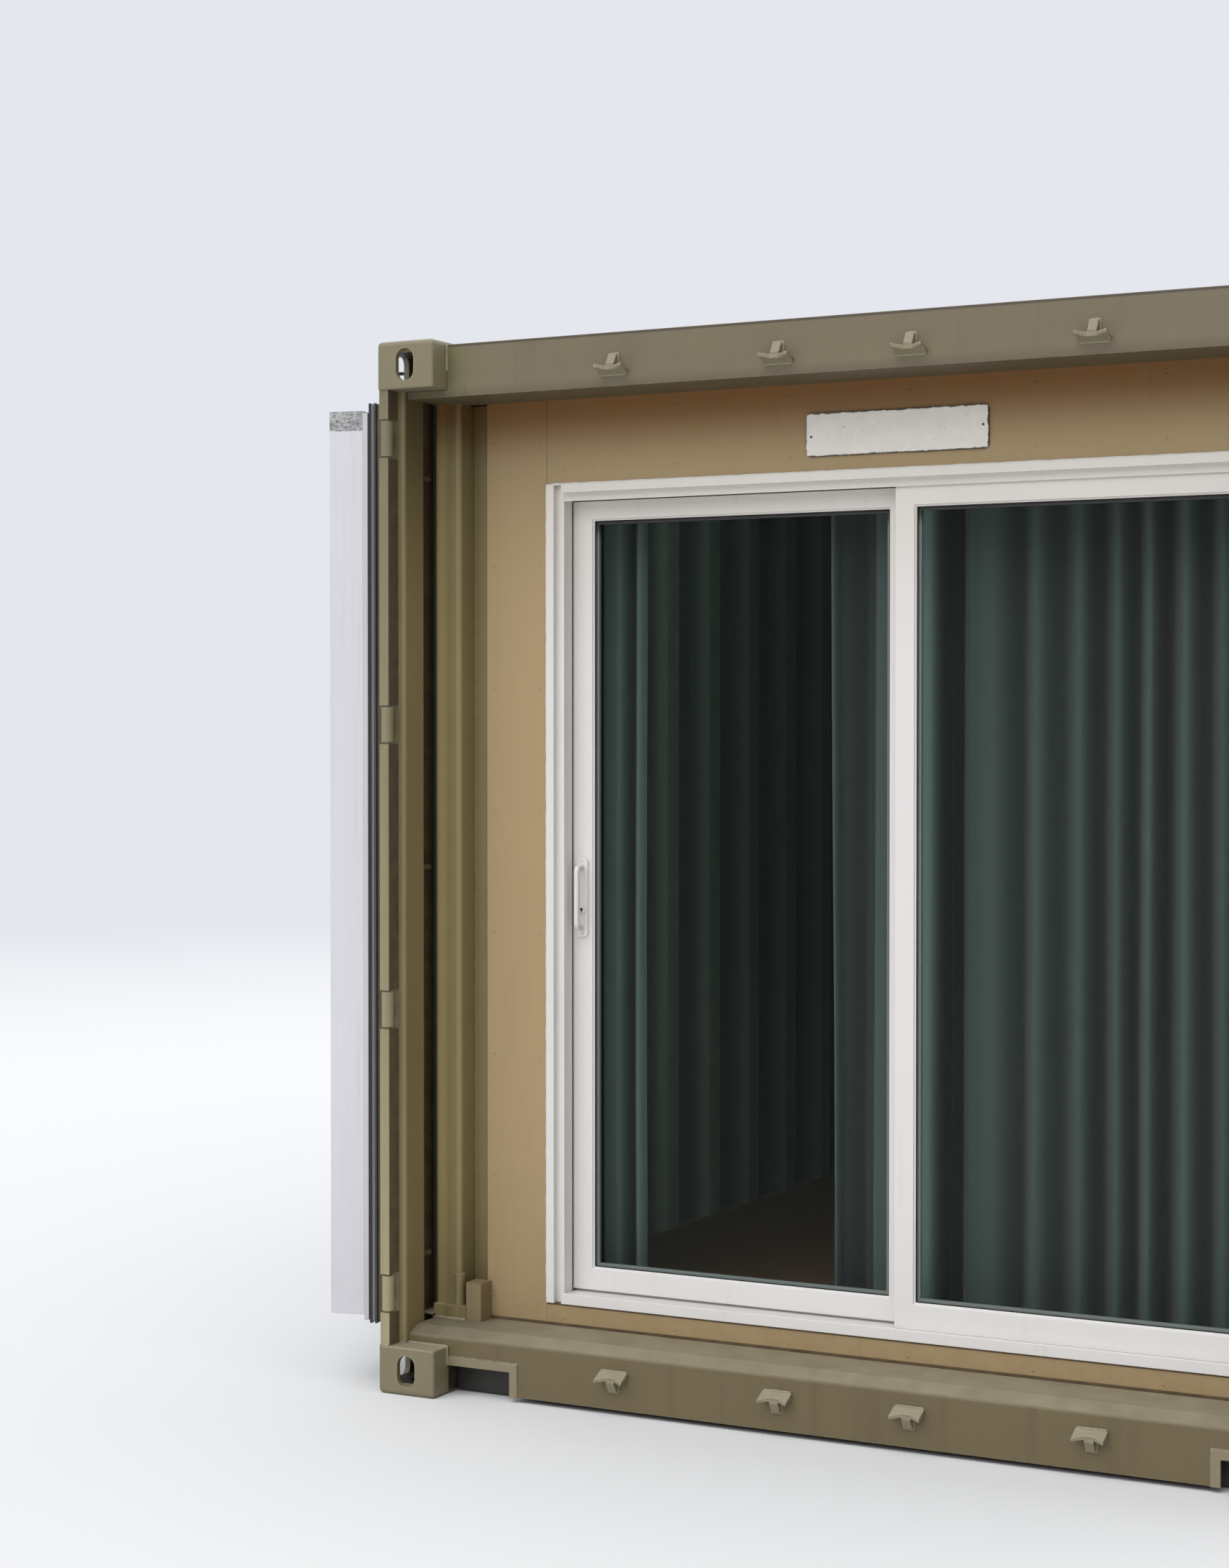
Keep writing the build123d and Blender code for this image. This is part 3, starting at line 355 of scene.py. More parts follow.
    def bump(self, height, strength):
        """Normal that follows a height, given in millimetres."""
        inputs = {"Height": height, "Strength": strength, "Distance": 0.001}
        return self.add("ShaderNodeBump", inputs).outputs[0]

    def close(self, node, **values):
        """Feed a node's inputs by their names."""
        for key, value in values.items():
            self.feed(node.inputs[key.replace("_", " ").title()], value)


KINDS = {"colour": "NodeSocketColor", "number": "NodeSocketFloat", "vector": "NodeSocketVector"}
FINISH = {"Color": "colour", "Roughness": "number", "Height": "number"}


def shader_group(name, inputs, outputs):
    """Empty shader group: its graph, the values that it is given, and its outlet."""
    tree = bpy.data.node_groups.new(name, "ShaderNodeTree")
    for direction, sockets in (("INPUT", inputs), ("OUTPUT", outputs)):
        for label, kind in sockets.items():
            tree.interface.new_socket(label, in_out=direction, socket_type=KINDS[kind])
    inlet = tree.nodes.new("NodeGroupInput")
    return Graph(tree), inlet.outputs, tree.nodes.new("NodeGroupOutput")


def steel_paint_group():
    """Sprayed paint on steel: mottling, water streaks, dust on ledges and worn edges."""
    shares = {"Streaks": "number", "Wear": "number", "Grain": "number"}
    inputs = {"Paint": "colour", "Dust": "colour", **shares}
    graph, given, outlet = shader_group("Steel Paint", inputs, FINISH)
    patches = graph.noise(14.0, 4.0)
    drips = graph.noise((19.0, 19.0, 0.7), 4.0)
    speckle = graph.noise(95.0, 2.0)
    tone = graph.shade(given["Paint"], graph.span(graph.noise(1.9, 4.0), 0.9, 1.1))
    tone = graph.shade(tone, graph.span(patches, 0.94, 1.06))
    runs = graph.times(graph.step(drips, 0.52, 0.74), given["Streaks"])
    tone = graph.mix(runs, tone, graph.shade(given["Paint"], 0.72))
    settled = graph.times(graph.facing(UP, 0.5, 0.95), graph.span(patches, 0.25, 0.85))
    tone = graph.mix(settled, tone, given["Dust"])
    edge = graph.times(graph.edges(0.005), given["Wear"], graph.step(speckle, 0.35, 0.6))
    tone = graph.mix(edge, tone, graph.shade(given["Dust"], 1.15))
    graph.close(
        outlet,
        color=graph.shade(tone, graph.span(speckle, 0.97, 1.03)),
        roughness=graph.math("ADD", graph.span(patches, 0.38, 0.58), graph.times(settled, 0.25)),
        height=graph.math("ADD", graph.noise(given["Grain"], 2.0), graph.times(patches, 1.5)),
    )


def board_paint_group():
    """Brushed paint on wood: a soft upright grain, brush marks and soiled lower ends."""
    inputs = {"Paint": "colour", "Grain": "number", "Soil": "number"}
    graph, given, outlet = shader_group("Board Paint", inputs, FINISH)
    grain = graph.noise((85.0, 85.0, 2.6), 5.0, 0.6)
    brush = graph.noise((260.0, 260.0, 9.0))
    blots = graph.noise(24.0, 4.0)
    tone = graph.shade(given["Paint"], graph.span(graph.noise(1.6), 0.94, 1.06))
    lines = graph.times(graph.step(grain, 0.5, 0.75), given["Grain"])
    tone = graph.mix(lines, tone, graph.shade(given["Paint"], 0.82))
    tone = graph.shade(tone, graph.span(brush, 0.97, 1.03))
    low = graph.step(graph.level(), 0.75, 0.12)
    soiled = graph.times(low, blots, given["Soil"])
    graph.close(
        outlet,
        color=graph.mix(soiled, tone, graph.shade(given["Paint"], 0.55)),
        roughness=graph.span(blots, 0.5, 0.72),
        height=graph.math("ADD", graph.times(grain, 1.2), brush),
    )


def grime_group():
    """Dark colour laid over a finish by a mask, broken up at its rim: painted shade, partly dirt.
    """
    inputs = {"Base": "colour", "Grime": "colour", "Mask": "number"}
    graph, given, outlet = shader_group("Grime", inputs, {"Color": "colour"})
    cover = graph.times(given["Mask"], graph.span(graph.noise(26.0, 4.0), 0.7, 1.2))
    graph.close(outlet, color=graph.mix(cover, given["Base"], given["Grime"]))


def header_shade_group():
    """Painted shade on a face that stands back under the header: darker towards the header, and
    brown and dark just below it.
    """
    inputs = {"Base": "colour", "Reach": "number"}
    graph, given, outlet = shader_group("Header Shade", inputs, {"Color": "colour"})
    below = graph.math("SUBTRACT", HEADER_LOW, graph.level())
    far = graph.times(graph.step(below, 0.75, 0.05), given["Reach"])
    tone = graph.mix(far, given["Base"], graph.shade(given["Base"], 0.72))
    deep_shade = graph.scaled(tone, (0.62, 0.40, 0.22))
    graph.close(outlet, color=graph.mix(graph.step(below, 0.17, 0.01), tone, deep_shade))


def inward_group():
    """Mask of the faces that look into the room, across the given axis."""
    graph, given, outlet = shader_group("Inward Faces", {"Axis": "vector"}, {"Mask": "number"})
    across = graph.along(graph.coordinates(), given["Axis"])
    turned = graph.along(graph.coordinates("Normal"), given["Axis"])
    graph.close(outlet, mask=graph.math("LESS_THAN", graph.times(across, turned), 0.0))


def moulded_group():
    """Moulded plastic or rubber: faint clouding and fine stipple."""
    inputs = {"Tint": "colour", "Stain": "number", "Gloss": "number"}
    graph, given, outlet = shader_group("Moulded", inputs, FINISH)
    cloud = graph.noise(3.5, 4.0)
    tone = graph.shade(given["Tint"], graph.span(cloud, 0.965, 1.03))
    dirt = graph.noise((30.0, 30.0, 2.2), 4.0)
    marks = graph.times(graph.step(dirt, 0.56, 0.8), given["Stain"])
    graph.close(
        outlet,
        color=graph.mix(marks, tone, graph.shade(given["Tint"], 0.66)),
        roughness=graph.math("ADD", graph.span(cloud, -0.06, 0.06), given["Gloss"]),
        height=graph.noise(420.0, 2.0),
    )


# Materials


def new_material(name):
    """Material with a Principled shader: the material, its graph and the shader."""
    material = bpy.data.materials.new(name)
    material.use_nodes = True
    return material, Graph(material.node_tree), material.node_tree.nodes["Principled BSDF"]


def finished(name, group, bump=0.25, specular=0.5, weather=None, **values):
    """Material whose colour, roughness and relief come from one shared group.

    A value may be a function of the graph. The last touch to the colour comes from weather, a
    function of the graph and the colour.
    """
    material, graph, shader = new_material(name)
    values = {key: value(graph) if callable(value) else value for key, value in values.items()}
    finish = graph.use(group, **values)
    tone = weather(graph, finish["Color"]) if weather else finish["Color"]
    graph.close(shader, base_color=tone, roughness=finish["Roughness"])
    if bump:
        graph.close(shader, normal=graph.bump(finish["Height"], bump))
    shader.inputs["Specular IOR Level"].default_value = specular
    return material


def steel_finish(
    name, colours, paint, weather=None, streaks=0.35, wear=0.5, grain=240.0, bump=0.25
):
    """Painted steel."""
    paints = {"paint": paint, "dust": colours.dust}
    relief = {"streaks": streaks, "wear": wear, "grain": grain}
    return finished(name, "Steel Paint", bump, weather=weather, **paints, **relief)


def board_finish(name, paint, grain, soil, bump, specular=0.5, weather=None):
    """Painted wood."""
    values = {"paint": paint, "grain": grain, "soil": soil}
    return finished(name, "Board Paint", bump, specular, weather, **values)


def moulded_finish(name, tint, stain, gloss, bump, specular=0.5, weather=None):
    """Plastic, rubber or smooth metal."""
    values = {"tint": tint, "stain": stain, "gloss": gloss}
    return finished(name, "Moulded", bump, specular, weather, **values)


def room_paint(graph, colours):
    """Paint of the room, with painted shade in the outer flats of the walls and towards the rear,
    and painted light on the inner flats.
    """
    flat_shade = graph.span(graph.step(graph.inset(), 0.014, 0.040), 0.5, 1.4)
    rear_shade = graph.span(graph.step(graph.depth(), 1.5, 2.4), 1.0, 0.45)
    return graph.shade(colours.inside, graph.times(flat_shade, rear_shade))


def shell_finish(name, colours, axis):
    """Corrugated sheet with the outer paint on one side and the room's paint on the other."""
    def weather(graph, tone):
        inner = graph.use("Board Paint", paint=room_paint(graph, colours), grain=0.2, soil=0.3)
        return graph.mix(graph.use("Inward Faces", axis=axis)["Mask"], tone, inner["Color"])

    return steel_finish(name, colours, colours.steel, weather, streaks=0.5, wear=0.2)


def steel_light_gradient(graph, colours):
    """Steel paint with a painted gradient of light: lighter low down and darker high up towards the
    header.
    """
    share = graph.math("DIVIDE", graph.level(), TOP)
    return graph.shade(colours.steel, graph.span(share, 1.40, 0.64))


def post_finish(colours):
    """Post paint: the painted light gradient on the lip, painted shade on the body behind it, and
    black painted shade, partly dirt, in the lashing recess.
    """
    def paint(graph):
        # The body's side face behind the lip takes the shaded copy of the steel: painted shade
        inner = graph.past(graph.inset(), LIP_INSET, 0.0004)
        body_shade = graph.times(inner, graph.past(graph.depth(), 0.05, 0.01))
        return graph.mix(body_shade, steel_light_gradient(graph, colours), colours.shaded_steel)

    def weather(graph, tone):
        inset, depth = graph.inset(), graph.depth()
        # Painted shade in the groove behind the lip
        groove_shade = graph.times(
            graph.within(inset, LIP_INSET - 0.0008, LIP_INSET + 0.0016, 0.0006),
            graph.within(depth, 0.010, 0.053, 0.003),
            0.84,
        )
        tone = graph.soil(tone, graph.shade(colours.grime, 1.9), groove_shade)
        # Painted shade under the header behind the lip
        high = graph.times(
            graph.step(graph.level(), 1.9, 2.42),
            graph.step(depth, 0.05, 0.06),
            graph.step(inset, LIP_INSET, LIP_INSET + 0.006),
        )
        tone = graph.mix(high, tone, graph.shade(tone, 0.45))
        # Painted shade, partly dirt, in the lashing recess
        inner = graph.past(inset, 0.0105, 0.0015)
        recess_shade = graph.times(graph.past(depth, RECESS_DEPTH, 0.003), inner)
        return graph.soil(tone, graph.shade(colours.grime, 2.7), recess_shade)

    return steel_finish("Post Paint", colours, paint, weather)


def tube_finish(colours):
    """Paint of the tubes beside the wall: the shaded copy of the steel, painted light on the edge
    near the post and on the side beside the wall, darker near the foot, and painted shade under the
    header.
    """
    def weather(graph, tone):
        inset = graph.inset()
        # Painted light on the edge next to the post and on the side face beside the wall; darker
        # near the foot
        post_side_light = graph.span(graph.step(inset, 0.062, 0.085), 1.55, 1.0)
        wall_side_light = graph.span(graph.within(inset, 0.104, 0.1185, 0.002), 1.0, 1.15)
        low = graph.span(graph.step(graph.level(), 0.55, 0.2), 1.0, 0.78)
        tone = graph.shade(tone, graph.times(post_side_light, wall_side_light, low))
        # Painted shade under the header
        return graph.use("Header Shade", base=tone, reach=0.6)["Color"]

    return steel_finish("Tube Paint", colours, colours.shaded_steel, weather, streaks=0.25, wear=0.7)


def sill_finish(colours):
    """Sill paint: a painted highlight round the cut-outs, painted shade at its ends, and black
    painted shade behind the cut-outs and on faces that look down.
    """
    def weather(graph, tone):
        inset, depth, level = graph.inset(), graph.depth(), graph.level()
        # Painted shade at the ends of the top, beside the posts
        nook_shade = graph.times(graph.facing(UP, 0.6, 0.9), graph.step(inset, 0.45, 0.13))
        tone = graph.mix(nook_shade, tone, graph.shade(tone, 0.7))
        # Painted highlight in the dust colour on the rim round the cut-outs
        rim = graph.times(
            graph.within(inset, 0.1, CUTOUT_INSET),
            graph.past(level, CUTOUT_LEVEL, -0.001),
            graph.facing(FORWARD, 0.5, 0.8),
            graph.past(depth, SILL_FRONT, -0.0005),
            0.42,
        )
        tone = graph.mix(rim, tone, colours.dust)
        # Black painted shade behind the cut-outs and on faces that look down
        back_shade = graph.times(graph.past(depth, SILL_BACK, 0.0005), graph.past(level, 0.131, -0.003))
        inside = graph.math("MAXIMUM", back_shade, graph.facing(UP, -0.6, -0.9))
        return graph.soil(tone, colours.grime, inside)

    return steel_finish("Sill Paint", colours, colours.sill, weather, streaks=0.5, wear=0.6)


def casting_finish(colours):
    """Casting paint, with painted shade in the hollow and on the side that the sill covers."""
    def weather(graph, tone):
        inset, depth, level = graph.inset(), graph.depth(), graph.level()
        length = cad_box[1].y - cad_box[0].y
        from_end = graph.math("MINIMUM", depth, graph.math("SUBTRACT", length, depth))
        from_level = graph.math("MINIMUM", level, graph.math("SUBTRACT", TOP, level))
        # Painted shade in the hollow and on the side behind the sill
        hollow_shade = graph.times(
            graph.within(inset, CASTING_WALL, 0.1468, 0.0004),
            graph.within(from_end, CASTING_WALL, 0.1628, 0.0004),
            graph.within(from_level, 0.012, 0.106, 0.0004),
        )
        covered_shade = graph.times(graph.step(from_end, 0.066, 0.074), graph.step(inset, 0.160, 0.1612))
        return graph.soil(tone, colours.grime, graph.math("MAXIMUM", hollow_shade, covered_shade))

    rough = {"streaks": 0.25, "wear": 0.8, "grain": 120.0, "bump": 0.6}
    return steel_finish("Casting Paint", colours, colours.casting, weather, **rough)


def leaf_finish(colours):
    """Paint of the cargo leaves: the painted light gradient on the knuckles, and painted shade
    along the hinge edge that faces forward.
    """
    def paint(graph):
        knuckles = graph.past(graph.inset(), KNUCKLE_INSET)
        return graph.mix(knuckles, colours.steel, steel_light_gradient(graph, colours))

    def weather(graph, tone):
        # Painted shade on the steel edge beside the gasket
        beyond = graph.past(graph.inset(), KNUCKLE_INSET, -0.001)
        edge = graph.times(graph.facing(FORWARD, 0.75, 0.95), beyond, 0.8)
        return graph.soil(tone, graph.scaled(colours.grime, (1.5, 2.1, 1.9)), edge)

    return steel_finish("Leaf Paint", colours, paint, weather)


def header_finish(colours):
    """Header paint: painted shade along the upper edge and the lower edge, a green stain and brown
    runs beside the left casting.
    """
    def weather(graph, tone):
        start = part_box("front_corner_castings_left")[1].x
        near = graph.step(graph.along(graph.coordinates(), ACROSS), start + 0.11, start)
        runs = graph.noise((60.0, 60.0, 5.0))
        tone = graph.mix(graph.times(near, graph.step(runs, 0.38, 0.62), 0.55), tone, colours.moss)
        tone = graph.mix(graph.times(near, graph.step(runs, 0.66, 0.74), 0.6), tone, colours.rust)
        # Painted shade along the upper edge and the lowest 30 mm
        level = graph.level()
        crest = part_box("door_header")[1].z - 0.007
        upper_shade = graph.times(graph.past(level, crest, 0.002), graph.facing(FORWARD, 0.3, 0.6), 0.8)
        under = graph.times(graph.step(level, HEADER_LOW + 0.03, HEADER_LOW - 0.002), 0.35)
        painted_shade = graph.math("MAXIMUM", upper_shade, under)
        return graph.soil(tone, graph.shade(colours.grime, 1.5), painted_shade)

    return steel_finish("Header Paint", colours, colours.header, weather, streaks=0.3, wear=0.3)


def wall_finish(name, colours, foot=False):
    """Paint of the boarded wall: painted shade under the header, a painted shadow in the gap on the
    sill, and a dark seam above the frame.
    """
    def weather(graph, tone):
        tone = graph.use("Header Shade", base=tone, reach=0.5)["Color"]
        level = graph.level()
        foot_low, foot_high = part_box("wall_foot")
        # Painted shadow in the gap above the sill, and on the foot board under the frame's sill
        gap_shadow = graph.past(level, foot_low.z + 0.0075, -0.0015)
        if foot:
            upper_shade = graph.past(level, foot_high.z - 0.0045, 0.0015)
            gap_shadow = graph.math("MAXIMUM", gap_shadow, upper_shade)
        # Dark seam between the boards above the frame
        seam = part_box("wall_left")[1].x - LEFT
        head_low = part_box("wall_head")[0].z
        upright = graph.times(
            graph.within(graph.inset(), seam - 0.001, seam + 0.001, 0.0008),
            graph.step(level, head_low - 0.002, head_low),
            0.45,
        )
        mask = graph.times(graph.math("MAXIMUM", gap_shadow, upright), 0.85)
        return graph.soil(tone, graph.shade(colours.grime, 1.7), mask)

    relief = {"bump": 0.25, "specular": 0.3}
    return board_finish(name, colours.board, grain=0.25, soil=0.5, weather=weather, **relief)


def timber_finish(colours):
    """White paint on timber that stops short of the upper end, where grey wood shows."""
    def weather(graph, tone):
        bare_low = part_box("leaf_studs_left")[1].z - 0.05
        ragged = graph.math("ADD", graph.level(), graph.span(graph.noise(90.0), -0.004, 0.004))
        bare = graph.step(ragged, bare_low, bare_low + 0.002)
        bare = graph.times(bare, graph.facing(FORWARD, 0.8, 0.9))
        wood = graph.noise((75.0, 75.0, 150.0), 6.0, 0.75)
        raw = graph.shade(colours.bare_wood, graph.span(graph.step(wood, 0.36, 0.62), 0.45, 1.45))
        return graph.mix(bare, tone, raw)

    marks = {"grain": 0.5, "soil": 0.25}
    return board_finish("White Timber", colours.timber, bump=0.35, weather=weather, **marks)


def vinyl_finish(colours):
    """White vinyl with painted shade, warmer and darker, towards the head of the patio door under
    the header.
    """
    def weather(graph, tone):
        # Painted shade under the header
        head_shade = graph.scaled(tone, (0.94, 0.91, 0.86))
        return graph.mix(graph.step(graph.level(), 1.7, 2.3), tone, head_shade)

    marks = {"stain": 0.18, "gloss": 0.34}
    return moulded_finish("White Vinyl", colours.vinyl, bump=0.08, weather=weather, **marks)


def gasket_finish(colours):
    """Weathered rubber with black painted shade in its outer groove and a painted highlight on the
    rib beside it.
    """
    def weather(graph, tone):
        inset = graph.inset()
        groove_shade = graph.within(inset, *GASKET_GROOVE, 0.0006)
        tone = graph.mix(groove_shade, tone, graph.shade(colours.rubber, 0.8))
        rib_highlight = graph.within(inset, *GASKET_RIB, 0.0012)
        return graph.mix(rib_highlight, tone, graph.shade(colours.gasket, 3.2))

    marks = {"stain": 0.6, "gloss": 0.32}
    return moulded_finish("Door Gasket", colours.gasket, bump=0.5, weather=weather, **marks)


def spacer_finish(colours):
    """Metal between the panes, dark where the head of the frame shades it."""
    def weather(graph, tone):
        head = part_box("sash_glass")[1].z
        return graph.mix(graph.step(graph.level(), head - 0.05, head - 0.01), tone, colours.rod)

    marks = {"stain": 0.1, "gloss": 0.4}
    return moulded_finish("Spacer Metal", colours.spacer, bump=0.0, weather=weather, **marks)


def glass_finish(colours):
    """Tinted glass with a thin reflection."""
    material, graph, shader = new_material("Window Glass")
    smears = graph.noise((3.0, 3.0, 1.2), 4.0)
    tint = graph.shade(colours.glass, graph.span(smears, 0.9, 1.1))
    graph.close(shader, base_color=tint, roughness=graph.span(smears, 0.015, 0.05), alpha=0.16)
    shader.inputs["Specular IOR Level"].default_value = 0.3
    return material


def cloth_finish(colours):
    """Woven curtain cloth with a slight sheen, with painted light where the folds stand towards the
    glass and painted shade in the folds towards the room.
    """
    material, graph, shader = new_material("Curtain Cloth")
    slub = graph.noise((420.0, 420.0, 14.0))
    weave = graph.math("ADD", slub, graph.noise((30.0, 30.0, 900.0), 2.0))
    low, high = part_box("curtain_left")
    # Painted light where the cloth stands towards the glass and painted shade in the folds towards
    # the room
    behind_glass = graph.math("SUBTRACT", high.y, graph.along(graph.coordinates(), REARWARD))
    near = graph.math("MAXIMUM", graph.math("DIVIDE", behind_glass, high.y - low.y), 0.0)
    fold_shading = graph.span(graph.math("POWER", near, 2.5), 0.08, 1.8)
    tone = graph.shade(colours.cloth, graph.times(graph.span(slub, 0.88, 1.1), fold_shading))
    relief = graph.bump(weave, 0.3)
    graph.close(shader, base_color=tone, roughness=0.92, sheen_weight=0.25, normal=relief)
    return material


def plywood_finish(colours):
    """Sealed plywood floor with a long grain."""
    material, graph, shader = new_material("Plywood")
    grain = graph.noise((60.0, 1.5, 60.0), 6.0, 0.65)
    graph.close(
        shader,
        base_color=graph.shade(colours.floor_board, graph.span(grain, 0.7, 1.25)),
        roughness=graph.span(grain, 0.35, 0.6),
        normal=graph.bump(grain, 0.2),
    )
    return material


def sign_finish(colours, middle, half_width, half_height):
    """Aged white paint that is worn to a dark edge."""
    material, graph, shader = new_material("Sign Paint")
    spot = graph.coordinates()
    margins = []
    for axis, centre, half in ((ACROSS, middle.x, half_width), (UP, middle.z, half_height)):
        offset = graph.math("ABSOLUTE", graph.math("SUBTRACT", graph.along(spot, axis), centre))
        margins.append(graph.math("SUBTRACT", half, offset))
    wear = graph.span(graph.noise(55.0, 5.0, 0.7), -0.008, 0.004)
    ragged = graph.math("ADD", graph.math("MINIMUM", *margins), wear)
    clean = graph.step(ragged, -0.001, 0.002)
    blots = graph.noise(30.0, 5.0, 0.65)
    face = graph.shade(colours.sign, graph.span(blots, 0.82, 1.08))
    specks = graph.step(graph.noise(160.0), 0.68, 0.74)
    face = graph.mix(graph.times(specks, 0.6), face, colours.sign_edge)
    graph.close(
        shader,
        base_color=graph.mix(clean, colours.sign_edge, face),
        roughness=graph.span(blots, 0.5, 0.8),
        normal=graph.bump(graph.math("ADD", clean, blots), 0.4),
    )
    return material


# Shapes


def circle(centre, side, other, radius, sides):
    """Points round a centre, in the plane of two directions."""
    points = []
    for step in range(sides):
        turned = 2 * math.pi * step / sides
        points.append(centre + (side * math.cos(turned) + other * math.sin(turned)) * radius)
    return points


class Shape:
    """Points and faces of one piece, gathered from simple forms."""

    def __init__(self):
        self.points = []
        self.faces = []

    def add(self, points, faces):
        """Add a form's points and faces."""
        first = len(self.points)
        self.points.extend(tuple(point) for point in points)
        self.faces.extend(tuple(first + index for index in face) for face in faces)

    def skin(self, rings, tip=None):
        """Closed skin over rings of points, with a cap or a tip at its end."""
        sides = len(rings[0])
        last = (len(rings) - 1) * sides
        points = [point for ring in rings for point in ring]
        faces = [tuple(range(sides))[::-1]]
        for step in range(sides):
            following = (step + 1) % sides
            for low in range(0, last, sides):
                high = low + sides
                faces.append((low + step, low + following, high + following, high + step))
            if tip is not None:
                faces.append((last + step, last + following, last + sides))
        if tip is None:
            faces.append(tuple(range(last, last + sides)))
        else:
            points.append(tip)
        self.add(points, faces)

    def tube(self, path, radii, sides=8):
        """Round rod along a path, with closed ends."""
        rings = []
        side = None
        for index, (point, radius) in enumerate(zip(path, radii)):
            before = path[max(index - 1, 0)]
            after = path[min(index + 1, len(path) - 1)]
            heading = (after - before).normalized()
            if side is None:
                side = heading.orthogonal().normalized()
            side = (side - heading * side.dot(heading)).normalized()
            rings.append(circle(point, side, heading.cross(side), radius, sides))
        self.skin(rings)

    def bead(self, corners, radius, pitch, rough=0.2, sides=6):
        """Uneven bead of weld or caulk along straight runs."""
        path = spaced([Vector(corner) for corner in corners], pitch)
        radii = []
        for index, point in enumerate(path):
            ripple = 1 + rough * (0.6 * math.sin(index * 2.1) + noise.noise(point * 60))
            radii.append(radius * ripple)
        radii[0] *= 0.5
        radii[-1] *= 0.5
        self.tube(path, radii, sides)

    def beads(self, corners, radius, pitch, **settings):
        """A bead and its mirror image on the right-hand side."""
        self.bead(corners, radius, pitch, **settings)
        self.bead([(-x, y, z) for x, y, z in corners], radius, pitch, **settings)

    def rim(self, low, high, width):
        """Rectangular rim in an upright plane between two corners."""
        points = []
        for y in (low[1], high[1]):
            for inset in (0.0, width):
                x0, x1 = low[0] + inset, high[0] - inset
                z0, z1 = low[2] + inset, high[2] - inset
                points += [(x0, y, z0), (x1, y, z0), (x1, y, z1), (x0, y, z1)]
        faces = []
        for step in range(4):
            other = (step + 1) % 4
            faces.append((step, other, 4 + other, 4 + step))
            faces.append((8 + other, 8 + step, 12 + step, 12 + other))
            faces.append((other, step, 8 + step, 8 + other))
            faces.append((4 + step, 4 + other, 12 + other, 12 + step))
        self.add(points, faces)

    def knob(self, centre, profile, sides, tip=None):
        """Form on a face that looks forward, from the radius at each height of its profile."""
        outward = Vector(FORWARD)
        side = outward.orthogonal().normalized()
        other = outward.cross(side)
        rings = []
        for rise, reach in profile:
            rings.append(circle(centre + outward * rise, side, other, reach, sides))
        self.skin(rings, None if tip is None else centre + outward * tip)

    def dome(self, centre, radius, height):
        """Low rounded head on a face that looks forward."""
        rings = 3
        angles = [math.pi / 2 * ring / rings for ring in range(rings)]
        profile = [(math.sin(angle) * height, math.cos(angle) * radius) for angle in angles]
        self.knob(centre, profile, sides=10, tip=height)

    def slab(self, low, high):
        """Rectangular block between two corners."""
        xs, ys, zs = zip(low, high)
        points = [(x, y, z) for x in xs for y in ys for z in zs]
        faces = [(0, 1, 3, 2), (4, 6, 7, 5), (0, 4, 5, 1), (2, 3, 7, 6), (0, 2, 6, 4), (1, 5, 7, 3)]
        self.add(points, faces)

    def piece(self, name, material, body, slot, edge=0.0, smooth=True):
        """The finished object, which rides on a body."""
        mesh = bpy.data.meshes.new(name)
        mesh.from_pydata(self.points, [], self.faces)
        mesh.materials.append(material)
        for polygon in mesh.polygons:
            polygon.use_smooth = smooth
        made = bpy.data.objects.new(name, mesh)
        bpy.context.scene.collection.objects.link(made)
        if edge:
            soften(made, edge)
        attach(made, body)
        return made


def spaced(corners, pitch):
    """Points at an even pitch along straight runs."""
    path = [corners[0]]
    for start, end in zip(corners, corners[1:]):
        count = max(1, round((end - start).length / pitch))
        path += [start.lerp(end, (step + 1) / count) for step in range(count)]
    return path


def soften(piece, edge):
    """Round the edges of a piece by modifiers, with its mesh as it was."""
    bevel = piece.modifiers.new("Edge", "BEVEL")
    bevel.width = edge
    bevel.segments = 2
    bevel.limit_method = "ANGLE"
    bevel.angle_limit = math.radians(32)
    bevel.use_clamp_overlap = True
    piece.modifiers.new("Shading", "WEIGHTED_NORMAL").keep_sharp = True


def dress(nodes, material, edge=0.0):
    """Give CAD nodes their finish and rounded edges."""
    for node in nodes:
        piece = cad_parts[node]
        piece.data.materials.clear()
        piece.data.materials.append(material)
        if edge:
            piece.modifiers.new("Weld", "WELD").merge_threshold = 0.00005
            soften(piece, edge)


def pair(name):
    """The left and right node of a pair."""
    return [f"{name}_{side}" for side in SIDES]


def wall_line(node, level_of):
    """Outer line of a corrugated wall along its lowest or highest edge."""
    points = [vertex.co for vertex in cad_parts[node].data.vertices]
    level = level_of(point.z for point in points)
    outermost = {}
    for point in points:
        if abs(point.z - level) < 0.001:
            key = round(point.y, 3)
            if key not in outermost or abs(point.x) > abs(outermost[key].x):
                outermost[key] = point
    return [outermost[key].copy() for key in sorted(outermost)]


# Operators


